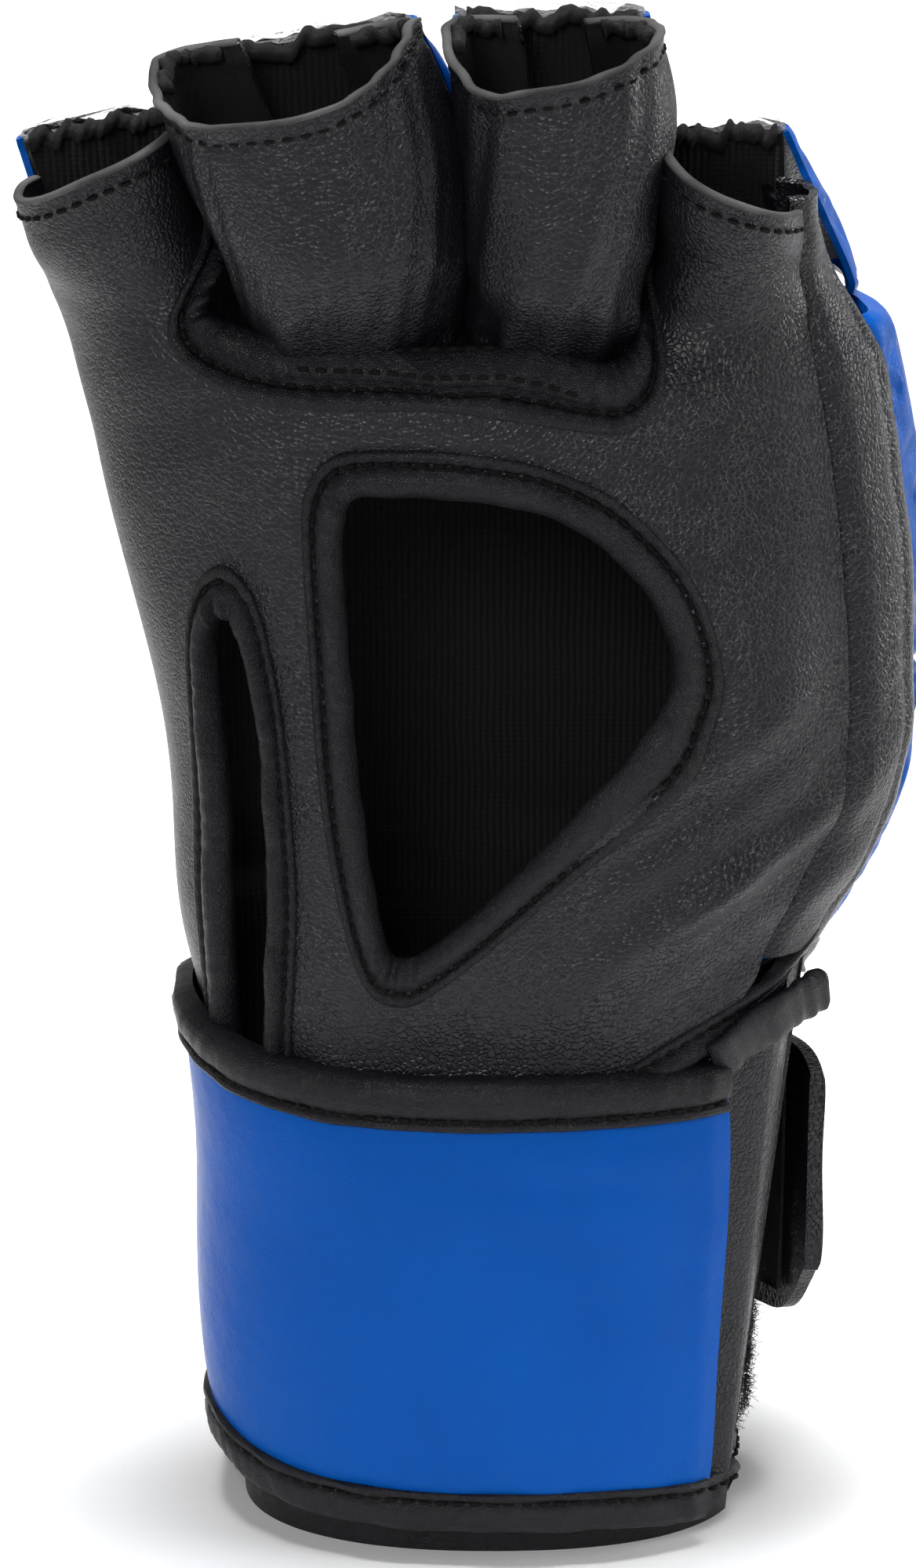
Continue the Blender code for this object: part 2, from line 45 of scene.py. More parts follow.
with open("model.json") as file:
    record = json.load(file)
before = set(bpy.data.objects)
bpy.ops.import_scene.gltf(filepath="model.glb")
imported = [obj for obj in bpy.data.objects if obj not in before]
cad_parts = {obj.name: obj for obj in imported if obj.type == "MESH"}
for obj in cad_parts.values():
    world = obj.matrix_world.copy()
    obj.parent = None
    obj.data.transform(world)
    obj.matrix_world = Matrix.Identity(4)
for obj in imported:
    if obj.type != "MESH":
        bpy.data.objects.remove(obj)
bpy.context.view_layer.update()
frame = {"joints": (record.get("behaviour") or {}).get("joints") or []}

KNUCKLE = (-50.2, 10.0, 206.0)  # the index finger's hinge, in section coordinates
HINGES = {joint["name"]: joint for joint in frame["joints"]}
SHIFT = np.array(KNUCKLE) - np.array(HINGES["index_bend"]["pos_m"]) / MM

# Horizontal sections of the hand: height, left x, right x, palm y, back y, y of the widest line.
SECTIONS = (
    (0, -37.0, 48.5, -28.0, 29.0, 1),
    (27, -39.0, 50.5, -29.3, 30.0, 1),
    (56, -40.2, 51.0, -29.5, 30.5, 1),
    (78, -41.6, 51.2, -29.7, 31.0, 1),
    (88, -42.7, 52.5, -29.9, 32.0, 1),
    (101, -45.5, 60.0, -31.0, 36.0, 3),
    (120, -46.8, 70.5, -32.5, 41.0, 6),
    (145, -50.0, 75.0, -33.0, 44.0, 8),
    (172, -56.5, 73.5, -32.5, 45.0, 9),
    (206, -64.0, 68.0, -31.5, 43.0, 9),
)

# Angles round the hand: 0 faces the palm side, 90 the little finger side, 180 the back, -90 the thumb side.
RIDGE = 50.0
BACK_SEAM = 75.0
THUMB_SEAM = -112.0
HAND_BOTTOM = 74.0
PAD_BOTTOM = 96.0
GROOVE = 203.8  # height of the bend line between the back pad and the finger pads
LEATHER = 1.3
STITCH_PITCH, STITCH_LENGTH, STITCH_RISE = 2.8, 2.1, 0.08
HAND_MIDDLE = (5, 5, 150)  # a point inside the glove, which outer faces turn away from

# Bindings, as pairs of points on the outer and inner edge, each x and z as seen from the palm side.
PALM_BINDING = (
    ((-24.1, 172), (-18.1, 168)),
    ((-23.4, 182.5), (-17.8, 177.5)),
    ((-18.8, 188.0), (-15.4, 181.2)),
    ((-8.0, 189.2), (-6.5, 181.6)),
    ((3.0, 188.6), (3.0, 181.0)),
    ((14.0, 186.4), (12.0, 179.4)),
    ((25.5, 180.4), (21.5, 174.4)),
    ((36.2, 168.4), (30.0, 165.0)),
    ((40.9, 154.0), (33.4, 155.5)),
    ((39.4, 143.5), (32.2, 148.0)),
    ((34.0, 133.0), (27.4, 141.0)),
    ((16.5, 117.6), (12.0, 123.0)),
    ((-3.0, 100.4), (-3.4, 108.0)),
    ((-9.8, 97.2), (-8.6, 105.4)),
    ((-15.2, 101.0), (-11.4, 107.2)),
    ((-19.3, 116.0), (-13.5, 117.0)),
    ((-22.4, 140.0), (-16.4, 140.0)),
)
THUMB_BINDING = (
    ((-27.4, 76), (-31.6, 76)),
    ((-26.2, 98), (-31.0, 98)),
    ((-25.8, 116), (-30.6, 115)),
    ((-27.2, 140), (-31.3, 139)),
    ((-29.4, 154), (-33.0, 150)),
    ((-32.0, 163.6), (-34.6, 156.4)),
    ((-36.4, 168.4), (-36.8, 159.4)),
    ((-40.6, 165.4), (-38.6, 157.6)),
    ((-42.6, 157), (-39.3, 152.6)),
    ((-42.7, 143), (-38.9, 142)),
    ((-42.6, 128), (-38.0, 128)),
    ((-42.4, 112), (-37.6, 112)),
    ((-41.6, 98), (-37.4, 98)),
    ((-40.8, 76), (-37.4, 76)),
)
SLOT_BINDING = (
    ((-35.0, 221.5), (-33.0, 215.5)),
    ((-40.8, 216.2), (-36.6, 212.2)),
    ((-45.0, 209.8), (-38.6, 209.4)),
    ((-45.4, 204.0), (-37.6, 207.0)),
    ((-41.8, 199.6), (-34.0, 205.6)),
    ((-34.0, 196.4), (-29.0, 204.9)),
    ((-22.0, 195.0), (-21.6, 204.4)),
    ((-4.1, 195.4), (-4.0, 204.2)),
    ((8.0, 194.0), (8.0, 203.2)),
    ((18.5, 192.2), (18.0, 202.0)),
    ((25.6, 191.6), (22.4, 201.8)),
    ((30.6, 195.0), (25.0, 203.2)),
    ((32.3, 202.6), (26.2, 206.8)),
    ((31.4, 209.0), (26.6, 211.4)),
    ((29.6, 216.0), (26.6, 216.4)),
)
SLIT_BINDING = (
    ((28.0, 86.0), (29.5, 81.0)),
    ((36.5, 90.6), (39.5, 85.6)),
    ((45.3, 94.8), (48.5, 89.6)),
    ((52.0, 99.0), (55.0, 93.2)),
    ((56.4, 102.6), (59.4, 95.8)),
    ((58.2, 104.6), (61.4, 97.4)),
)


def finger(x, lean, widths, drift, front, rim, curl):
    """A finger: hinge x, lean to the left in degrees, half width and shift across as (up, value) points, its palm
    side as (up, forward) points, its rim as (share across, up) points, and how much higher the rim's two curled-in
    sides end at the back."""
    return dict(x=x, lean=lean, widths=widths, drift=drift, front=front, rim=rim, curl=curl)


TUCKED = ((-10, 33.0), (-4, 36.0), (0, 39.3), (4, 43.3), (9, 46.8), (16, 48.6), (26, 49.4), (40, 50.6))
FINGERS = {
    "index": finger(
        -50.2, 11.0, ((-6, 13.6), (0, 13.6), (26, 13.9), (40, 14.0)), ((0, 0), (27, -0.9), (40, -1.4)),
        ((-16, 27.5), (0, 29.5), (14, 34.5), (32, 41.0)),
        ((-1, 22.5), (-0.6, 23.4), (-0.1, 25.2), (0.5, 27.0), (1, 29.0)), (0.5, 1.0),
    ),
    "middle": finger(
        -16.9, 10.6, ((-6, 17.2), (0, 17.9), (10, 19.2), (26, 21.4), (45, 20.4)),
        ((-6, 1.0), (0, 1.8), (10, 2.6), (26, 1.6), (45, -1.2)), TUCKED,
        ((-1, 42.2), (-0.9, 40.0), (-0.5, 37.6), (0.0, 37.2), (0.5, 39.6), (0.85, 44.0), (1, 47.0)), (4.2, -2.5),
    ),
    "ring": finger(
        14.0, 1.0, ((-6, 14.0), (0, 14.3), (10, 14.6), (20, 15.6), (33, 17.0), (48, 15.9)),
        ((-6, 0.9), (0, 1.2), (10, 1.6), (20, 2.2), (33, 2.9), (48, 0.9)), TUCKED,
        ((-1, 45.0), (-0.8, 40.8), (-0.4, 40.2), (0.0, 41.3), (0.5, 43.5), (1, 47.0)), (2.6, 0.0),
    ),
    "little": finger(
        42.6, 3.5, ((-6, 12.4), (26, 11.6), (40, 11.2)), ((0, 0), (28, 0.5)),
        ((-16, 32.5), (0, 34.5), (14, 41.5), (28, 47.5)),
        ((-1, 31.0), (-0.85, 28.8), (-0.36, 24.5), (0.28, 21.1), (1, 18.0)), (1.0, 2.5),
    ),
}
STALL_REAR = ((-16, -6), (0, -3.6), (25, 8.0), (44, 18.0))  # where a stall meets its lining, (up, forward)
TUBE_POWER = 2.4

# ---------------------------------------------------------------- numbers


def spline(rows):
    """A natural cubic spline through rows of (place, values...), straight beyond both ends."""
    table = np.array(rows, float)
    x, y = table[:, 0], table[:, 1:]
    h = np.diff(x)
    slope = np.diff(y, axis=0) / h[:, None]
    system, right = np.eye(len(x)), np.zeros_like(y)
    for i in range(1, len(x) - 1):
        system[i, i - 1 : i + 2] = h[i - 1], 2 * (h[i - 1] + h[i]), h[i]
        right[i] = 6 * (slope[i] - slope[i - 1])
    curve = np.linalg.solve(system, right)
    first = slope[0] - h[0] * curve[1] / 6
    last = slope[-1] + h[-1] * curve[-2] / 6

    def at(t):
        t = np.asarray(t, float)
        inside = np.clip(t, x[0], x[-1])
        i = np.clip(np.searchsorted(x, inside) - 1, 0, len(x) - 2)
        u = (inside - x[i])[..., None]
        width = h[i][..., None]
        start = slope[i] - width * (2 * curve[i] + curve[i + 1]) / 6
        value = y[i] + u * start + u**2 * curve[i] / 2 + u**3 * (curve[i + 1] - curve[i]) / (6 * width)
        beyond = (t - inside)[..., None]
        value = value + np.where(beyond < 0, beyond * first, beyond * last)
        return value[..., 0] if value.shape[-1] == 1 else value

    return at


def smooth_step(t):
    t = np.clip(t, 0, 1)
    return t * t * (3 - 2 * t)


def quarter_round(t):
    """Falls from 1 to 0 along a quarter circle as t runs from 0 to 1."""
    return 1 - np.sqrt(1 - (1 - np.clip(t, 0, 1)) ** 2)


def hill(t, middle, width):
    return np.exp(-(((t - middle) / width) ** 2))


def rounded(value, power=ROUNDNESS):
    return np.sign(value) * np.abs(value) ** (2 / power)


def ripple(t, seed, length):
    """A smooth wandering value between about -1 and 1, with bumps about as long as length."""
    draw = random.Random(seed)
    total = 0
    for _ in range(5):
        stretch = length * draw.uniform(0.7, 1.9)
        total = total + np.sin(2 * math.pi * t / stretch + draw.uniform(0, 6.28)) / 5
    return total * 1.6


section_at = spline(SECTIONS)


def hand(angle, z, out=0.0):
    """Points on the hand's outer surface, moved outwards by out."""
    a = np.radians(angle)
    z = np.asarray(z, float) + 0 * a
    rows = section_at(z)
    left, right, palm_y, back_y, widest = (rows[..., k] for k in range(5))
    across = (right - left) / 2 + out
    deep = np.where(np.cos(a) > 0, widest - palm_y, back_y - widest) + out
    x = (left + right) / 2 + across * rounded(np.sin(a))
    y = widest - deep * rounded(np.cos(a))
    return np.stack([x, y, z], axis=-1)


def angle_at(x, z):
    rows = section_at(np.asarray(z, float))
    left, right = rows[..., 0], rows[..., 1]
    share = np.clip((np.asarray(x) - (left + right) / 2) / ((right - left) / 2), -1, 1)
    return np.degrees(np.arcsin(np.sign(share) * np.abs(share) ** (ROUNDNESS / 2)))


def closed_line(points, step):
    """Points about step apart on a smooth closed curve through the given points."""
    return open_line([*points, points[0]], step, wrap=True)[:-1]


def open_line(points, step, wrap=False):
    """Points about step apart on a smooth curve through the given points, of any dimension."""
    p = np.array(points, float)
    before = p[-2] if wrap else 2 * p[0] - p[1]
    after = p[1] if wrap else 2 * p[-1] - p[-2]
    padded = np.vstack([before, p, after])
    made = []
    for i in range(1, len(padded) - 2):
        p0, p1, p2, p3 = padded[i - 1 : i + 3]
        for t in np.arange(16) / 16:
            made.append(
                0.5 * (2 * p1 + (p2 - p0) * t + (2 * p0 - 5 * p1 + 4 * p2 - p3) * t**2
                       + (3 * p1 - p0 - 3 * p2 + p3) * t**3)
            )
    made.append(p[-1])
    return spaced(np.array(made), step)


def run_along(line):
    return np.concatenate([[0], np.cumsum(np.linalg.norm(np.diff(line, axis=0), axis=1))])


def spaced(line, step):
    """The line's points, put about step apart along it."""
    run = run_along(line)
    count = max(3, int(round(run[-1] / step)) + 1)
    at = np.linspace(0, run[-1], count)
    return np.stack([np.interp(at, run, line[:, k]) for k in range(line.shape[1])], axis=1)


def unit(v):
    return v / np.maximum(np.linalg.norm(v, axis=-1, keepdims=True), 1e-9)


# ---------------------------------------------------------------- meshes


def place(points):
    return (np.asarray(points, float) - SHIFT) * MM


def mesh_object(name, points, faces, material, sharp=40, normals=None):
    """A smooth-shaded object from section coordinates. normals is one per face corner."""
    data = bpy.data.meshes.new(name)
    data.from_pydata(place(points).tolist(), [], [list(map(int, f)) for f in faces])
    data.materials.append(material)
    data.shade_smooth()
    if normals is not None:
        data.normals_split_custom_set([Vector(n) for n in normals])
    elif sharp:
        data.set_sharp_from_angle(angle=math.radians(sharp))
    made = bpy.data.objects.new(name, data)
    bpy.context.scene.collection.objects.link(made)
    return made


def loft(name, rings, material, closed_path=False, sharp=40):
    """A mesh through rings, an array of (ring, point, xyz), each ring closed."""
    rings = np.asarray(rings, float)
    count, around = rings.shape[:2]
    faces = []
    for i in range(count if closed_path else count - 1):
        j = (i + 1) % count
        for k in range(around):
            m = (k + 1) % around
            faces.append((i * around + k, i * around + m, j * around + m, j * around + k))
    if not closed_path:
        faces.append(list(range(around))[::-1])
        faces.append([(count - 1) * around + k for k in range(around)])
    made = mesh_object(name, rings.reshape(-1, 3), faces, material, sharp)
    face_outwards(made)
    return made


def face_outwards(obj):
    """Turns a closed mesh the right way round, by the sign of its volume."""
    data = obj.data
    data.calc_loop_triangles()
    points = np.array([v.co for v in data.vertices])
    tris = np.array([t.vertices for t in data.loop_triangles])
    if np.linalg.det(points[tris]).sum() < 0:
        data.flip_normals()


def inside(points, outline):
    """Which points lie in a closed outline."""
    x, y = points[:, 0], points[:, 1]
    found = np.zeros(len(points), bool)
    for (x0, y0), (x1, y1) in zip(outline, np.roll(outline, -1, axis=0)):
        if y0 == y1:
            continue
        crosses = (y0 > y) != (y1 > y)
        found ^= crosses & (x < (x1 - x0) * (y - y0) / (y1 - y0) + x0)
    return found


def flat_mesh(outline, holes, step):
    """A triangle mesh of a flat region, as points and triangles, with its outlines kept exactly."""
    loops = [outline, *holes]
    edges, first = [], 0
    for loop in loops:
        edges += [(first + i, first + (i + 1) % len(loop)) for i in range(len(loop))]
        first += len(loop)
    border = np.vstack(loops)
    low, high = outline.min(0), outline.max(0)
    xs = np.arange(low[0], high[0], step)
    ys = np.arange(low[1], high[1], step * 0.87)
    grid = np.array([(x + (row % 2) * step / 2, y) for row, y in enumerate(ys) for x in xs])
    keep = inside(grid, outline)
    for hole in holes:
        keep &= ~inside(grid, hole)
    grid = grid[keep]
    near = np.array([np.min(np.abs(border - g).max(1)) for g in grid])
    grid = grid[near > step * 0.45]
    points = np.vstack([border, grid])
    made = delaunay_2d_cdt([Vector(p) for p in points], edges, [], 0, 1e-6)
    points = np.array([tuple(p) for p in made[0]])
    tris = np.array(made[2])
    middle = points[tris].mean(1)
    keep = inside(middle, outline)
    for hole in holes:
        keep &= ~inside(middle, hole)
    return points, tris[keep]


def surface_normals(shape, uv, towards, step=0.05):
    """Unit normals of a surface shape(u, v), on the side where towards, a point, isn't."""
    u, v = uv[:, 0], uv[:, 1]
    along_u = shape(u + step, v) - shape(u - step, v)
    along_v = shape(u, v + step) - shape(u, v - step)
    return turned_away(unit(np.cross(along_u, along_v)), shape(u, v), towards)


def turned_away(normal, points, towards):
    away = np.sum(normal * (points - np.array(towards, float)), axis=-1)
    return -normal if away.mean() < 0 else normal


def sheet_of(name, outer, normal, tris, thickness, material, part=None, lining=None):
    """A sheet with two faces and a rim, from its outer points, their normals and triangles. part picks triangles."""
    inner = outer - normal * thickness
    a, b, c = (outer[tris[:, k]] for k in range(3))
    turned = np.sum(np.cross(b - a, c - a) * normal[tris[:, 0]], axis=1) < 0
    tris = tris.copy()
    tris[turned] = tris[turned][:, ::-1]
    whole_border = border_edges(tris)
    if part is not None:
        tris = tris[part]
    rim = [e for e in border_edges(tris) if e in whole_border or e[::-1] in whole_border]
    n = len(outer)
    faces = [tuple(t) for t in tris] + [tuple(t[::-1] + n) for t in tris]
    corner = [normal[i] for t in tris for i in t] + [-normal[i] for t in tris for i in t[::-1]]
    points = np.vstack([outer, inner])
    for i, j in sorted(rim):
        faces.append((j, i, i + n, j + n))
        flat = unit(np.cross(points[i] - points[j], points[i + n] - points[j]))
        corner += [flat] * 4
    used = np.unique(np.concatenate([np.array(f) for f in faces]))
    renumber = np.zeros(2 * n, int)
    renumber[used] = np.arange(len(used))
    faces = [tuple(renumber[list(f)]) for f in faces]
    made = mesh_object(name, points[used], faces, material, normals=corner)
    if lining:
        made.data.materials.append(lining)
        for face in made.data.polygons[len(tris) : 2 * len(tris)]:
            face.material_index = 1
    return made


def skin(name, shape, uv, tris, thickness, material, part=None, middle=HAND_MIDDLE, lining=None):
    """A sheet of leather on shape(u, v), with another material on its inner face where there is a lining."""
    outer = shape(uv[:, 0], uv[:, 1])
    normal = surface_normals(shape, uv, middle)
    return sheet_of(name, outer, normal, tris, thickness, material, part, lining)


def grid_points(shape, us, vs):
    u, v = np.meshgrid(us, vs)
    return shape(u.ravel(), v.ravel()).reshape(len(vs), len(us), 3)


def grid_triangles(rows, cols):
    tris = []
    for r in range(rows - 1):
        for c in range(cols - 1):
            a, b = r * cols + c, (r + 1) * cols + c
            tris += [(a, a + 1, b + 1), (a, b + 1, b)]
    return np.array(tris)


def grid_sheet(name, points, thickness, material, middle, part=None):
    """A sheet through a grid of points. part(points of the triangles' middles) picks some of its triangles."""
    rows, cols = points.shape[:2]
    normal = unit(np.cross(np.gradient(points, axis=1), np.gradient(points, axis=0)))
    normal = turned_away(normal, points, middle)
    tris = grid_triangles(rows, cols)
    flat = points.reshape(-1, 3)
    picked = None if part is None else part(flat[tris].mean(1))
    return sheet_of(name, flat, normal.reshape(-1, 3), tris, thickness, material, picked)


def border_edges(tris):
    """The directed edges that only one triangle has."""
    edges = set()
    for t in tris:
        for i, j in ((t[0], t[1]), (t[1], t[2]), (t[2], t[0])):
            edges.add((int(i), int(j)))
    return {e for e in edges if (e[1], e[0]) not in edges}


def stitches(name, line, normals, radius=0.44):
    """A row of thread stitches along a line of points with their surface normals."""
    run = run_along(line)
    places = np.arange(STITCH_PITCH / 2, run[-1] - STITCH_PITCH / 2, STITCH_PITCH)
    shares = np.linspace(-1, 1, 7)
    around = np.radians(np.arange(6) * 60)
    points, faces = [], []
    for middle in places:
        at = middle + shares * STITCH_LENGTH / 2
        centre = np.stack([np.interp(at, run, line[:, k]) for k in range(3)], axis=1)
        normal = unit(np.stack([np.interp(at, run, normals[:, k]) for k in range(3)], axis=1))
        along = unit(np.gradient(centre, axis=0))
        side = unit(np.cross(along, normal))
        dip = (radius * 1.1 * shares**4 - STITCH_RISE)[:, None]
        centre = centre - normal * dip
        size = radius * np.sqrt(np.maximum(0.04, 1 - (shares * 0.97) ** 4))
        first = len(points)
        for c, s, n, r in zip(centre, side, normal, size):
            points += [c + r * (math.cos(t) * s + math.sin(t) * n * 0.9) for t in around]
        for ring in range(6):
            for k in range(6):
                a, b = first + ring * 6 + k, first + ring * 6 + (k + 1) % 6
                faces.append((a, a + 6, b + 6, b))
        faces.append([first + k for k in range(6)])
        faces.append([first + 36 + k for k in range(6)][::-1])
    return mesh_object(name, np.array(points), faces, THREAD, sharp=None)


# ---------------------------------------------------------------- cloth


CLOTH_FRAMES, CLOTH_SLACK = 24, 0.03


def blown_up(points, pinned, pressure, cap):
    """How cloth over a grid of points moves when it is blown up, with its pinned points held still."""
    rows, cols = points.shape[:2]
    flat = points.reshape(-1, 3)
    quads = [(r * cols + c, r * cols + c + 1, (r + 1) * cols + c + 1, (r + 1) * cols + c)
             for r in range(rows - 1) for c in range(cols - 1)]
    cloth = mesh_object("cloth", flat, quads, BLUE, sharp=None)
    group = cloth.vertex_groups.new(name="held")
    group.add([int(i) for i in np.flatnonzero(pinned.ravel())], 1.0, "REPLACE")
    modifier = cloth.modifiers.new("cloth", "CLOTH")
    settings = modifier.settings
    settings.quality = 6
    settings.mass = 0.15
    settings.tension_stiffness = settings.compression_stiffness = 20
    settings.shear_stiffness = 8
    settings.bending_stiffness = 0.4
    settings.vertex_group_mass = "held"
    settings.use_pressure = True
    settings.uniform_pressure_force = pressure
    settings.shrink_min = -CLOTH_SLACK
    settings.effector_weights.gravity = 0
    modifier.point_cache.frame_end = CLOTH_FRAMES
    scene = bpy.context.scene
    for step in range(1, CLOTH_FRAMES + 1):
        scene.frame_set(step)
    ready = cloth.evaluated_get(bpy.context.evaluated_depsgraph_get())
    moved = np.array([v.co for v in ready.data.vertices]) / MM + SHIFT
    bpy.data.objects.remove(cloth)
    scene.frame_set(1)
    offset = moved - flat
    size = np.linalg.norm(offset, axis=1, keepdims=True)
    offset *= np.tanh(size / cap) * cap / np.maximum(size, 1e-6)
    return offset.reshape(points.shape)


def finer(values, us, vs, fine_us, fine_vs):
    """Values over a grid, smoothly filled in to a finer grid."""
    rows, cols = values.shape[:2]
    down = spline(np.column_stack([vs, values.reshape(rows, -1)]))(fine_vs).reshape(len(fine_vs), cols, 3)
    turned = down.transpose(1, 0, 2).reshape(cols, -1)
    across = spline(np.column_stack([us, turned]))(fine_us).reshape(len(fine_us), len(fine_vs), 3)
    return across.transpose(1, 0, 2)


def padded_grid(shape, us, vs, coarse, held, pressure, cap, middle):
    """A fine grid on a surface, puffed out from middle like padded leather between the seams held(u, v) finds."""
    rough_us, rough_vs = np.linspace(us[0], us[-1], coarse[0]), np.linspace(vs[0], vs[-1], coarse[1])
    rough = grid_points(shape, rough_us, rough_vs)
    u, v = np.meshgrid(rough_us, rough_vs)
    pinned = held(u, v)
    pinned[0, :] = pinned[-1, :] = pinned[:, 0] = pinned[:, -1] = True
    normal = unit(np.cross(np.gradient(rough, axis=1), np.gradient(rough, axis=0)))
    if np.sum(normal * (rough - np.array(middle, float))) < 0:
        normal = -normal
        offset = blown_up(rough[:, ::-1], pinned[:, ::-1], pressure, cap)[:, ::-1]
    else:
        offset = blown_up(rough, pinned, pressure, cap)
    sunk = np.minimum(np.sum(offset * normal, axis=-1, keepdims=True) + 0.3, 0)
    offset = offset - normal * sunk
    return grid_points(shape, us, vs) + finer(offset, rough_us, rough_vs, us, vs)


# ---------------------------------------------------------------- materials


class Nodes:
    """Short forms for building a material's node tree."""

    def __init__(self, name):
        self.material = bpy.data.materials.new(name)
        self.material.use_nodes = True
        self.tree = self.material.node_tree
        self.shader = self.tree.nodes["Principled BSDF"]

    def add(self, kind, **inputs):
        node = self.tree.nodes.new(kind)
        for key, value in inputs.items():
            self.feed(node.inputs[key.replace("_", " ")], value)
        return node

    def feed(self, socket, value):
        if isinstance(value, bpy.types.NodeSocket):
            self.tree.links.new(value, socket)
        else:
            socket.default_value = value

    def where(self):
        return self.add("ShaderNodeTexCoord").outputs["Object"]

    def math(self, operation, a, b=0.0):
        node = self.add("ShaderNodeMath")
        node.operation = operation
        self.feed(node.inputs[0], a)
        self.feed(node.inputs[1], b)
        return node.outputs[0]

    def noise(self, scale, detail=2.0, where=None, roughness=0.5):
        node = self.add("ShaderNodeTexNoise", Scale=scale, Detail=detail, Roughness=roughness)
        self.feed(node.inputs["Vector"], where or self.where())
        return node.outputs["Fac"]

    def cells(self, scale, where=None, feature="F1"):
        node = self.add("ShaderNodeTexVoronoi")
        node.feature = feature
        node.inputs["Scale"].default_value = scale
        self.feed(node.inputs["Vector"], where or self.where())
        return node.outputs["Distance"]

    def warped(self, scale, amount):
        """The object's coordinates, shifted about by noise."""
        drift = self.add("ShaderNodeTexNoise", Scale=scale, Detail=2.0)
        self.feed(drift.inputs["Vector"], self.where())
        scaled = self.add("ShaderNodeVectorMath")
        scaled.operation = "MULTIPLY_ADD"
        self.feed(scaled.inputs[0], drift.outputs["Color"])
        scaled.inputs[1].default_value = (amount, amount, amount)
        self.feed(scaled.inputs[2], self.where())
        return scaled.outputs[0]

    def ramp(self, fac, stops):
        node = self.add("ShaderNodeValToRGB")
        self.feed(node.inputs["Fac"], fac)
        elements = node.color_ramp.elements
        for element, (at, colour) in zip(elements, stops):
            element.position = at
            element.color = (*colour, 1)
        return node.outputs["Color"]

    def between(self, fac, low, high, start=0.0, end=1.0):
        """A number that runs from low to high as fac runs from start to end."""
        node = self.add("ShaderNodeMapRange")
        self.feed(node.inputs["Value"], fac)
        node.inputs["From Min"].default_value = start
        node.inputs["From Max"].default_value = end
        node.inputs["To Min"].default_value = low
        node.inputs["To Max"].default_value = high
        return node.outputs["Result"]

    def bump(self, height, distance, strength=1.0, below=None):
        node = self.add("ShaderNodeBump", Distance=distance, Strength=strength)
        self.feed(node.inputs["Height"], height)
        if below is not None:
            self.feed(node.inputs["Normal"], below)
        return node.outputs["Normal"]

    def finish(self, **inputs):
        for key, value in inputs.items():
            self.feed(self.shader.inputs[key.replace("_", " ")], value)
        return self.material


def leather(name, colour, lift, roughness, grain, depth, creases, specular):
    """Coated leather: pebbles of a given size in metres with fine valleys between them, pores, soft creases
    and an uneven gloss."""
    n = Nodes(name)
    at = n.warped(0.5 / grain, grain * 1.2)
    valley = n.cells(1 / grain, at, "DISTANCE_TO_EDGE")
    pebble = n.between(valley, 0.0, 1.0, 0.0, 0.22)
    dome = n.math("SUBTRACT", 1.0, n.cells(1 / grain, at))
    pores = n.noise(3.0 / grain, 2.0)
    wear = n.noise(0.12 / grain, 3.0)
    amount = n.between(wear, 0.6, 1.0, 0.35, 0.65)
    height = n.math("ADD", n.math("MULTIPLY", pebble, 0.8), n.math("MULTIPLY", dome, 0.4))
    height = n.math("MULTIPLY", height, amount)
    height = n.math("ADD", height, n.math("MULTIPLY", pores, 0.05))
    low = n.bump(n.noise(0.05 / grain, 3.0), creases, 1.0)
    shade = n.noise(0.02 / grain, 3.0)
    gloss = n.math("ADD", n.math("MULTIPLY", shade, 0.5), n.math("MULTIPLY", pores, 0.5))
    n.feed(n.shader.inputs["Normal"], n.bump(height, depth, 1.0, low))
    n.feed(n.shader.inputs["Roughness"], n.between(gloss, roughness - 0.03, roughness + 0.05, 0.3, 0.7))
    n.feed(n.shader.inputs["Base Color"], n.ramp(shade, [(0.35, colour), (0.7, lift)]))
    return n.finish(Specular_IOR_Level=specular)


def ribbed_knit():
    """Black knit lining with fine upright ribs of small loops, its colour painted darker in the valleys between ribs
    and loops and lighter on their tops: painted shade.
    """
    n = Nodes("ribbed_knit")
    split = n.add("ShaderNodeSeparateXYZ")
    n.feed(split.inputs[0], n.where())
    wander = n.math("MULTIPLY", n.noise(60.0, 2.0), 0.0012)
    across = n.math("MULTIPLY", n.math("ADD", split.outputs["X"], wander), math.pi / 0.0011)
    rib = n.math("ABSOLUTE", n.math("SINE", across))
    loops = n.math("ABSOLUTE", n.math("SINE", n.math("MULTIPLY", split.outputs["Z"], math.pi / 0.0009)))
    fuzz = n.noise(4000.0, 3.0)
    height = n.math("ADD", rib, n.math("MULTIPLY", loops, 0.25))
    height = n.math("ADD", height, n.math("MULTIPLY", fuzz, 0.4))
    # painted shade: the colour follows the knit's relief, darker in its valleys and lighter on its tops
    shaded_rib_colour = n.ramp(height, [(0.3, (0.0015, 0.0015, 0.002)), (1.0, (0.008, 0.008, 0.009))])
    n.feed(n.shader.inputs["Normal"], n.bump(height, 0.0004, 0.9))
    n.feed(n.shader.inputs["Base Color"], shaded_rib_colour)
    return n.finish(Roughness=0.85, Sheen_Weight=0.1, Sheen_Roughness=0.4, Specular_IOR_Level=0.25)


def pile(name, colour, lift, scale):
    """Fleece or loop pile: a fuzzy, uneven, dull surface."""
    n = Nodes(name)
    fuzz = n.noise(scale, 6.0, roughness=0.75)
    lumps = n.noise(scale * 0.2, 3.0)
    height = n.math("ADD", fuzz, lumps)
    n.feed(n.shader.inputs["Base Color"], n.ramp(fuzz, [(0.35, colour), (0.7, lift)]))
    n.feed(n.shader.inputs["Normal"], n.bump(height, 0.0012, 1.0))
    return n.finish(Roughness=0.95, Sheen_Weight=0.1, Sheen_Roughness=0.5, Specular_IOR_Level=0.1)


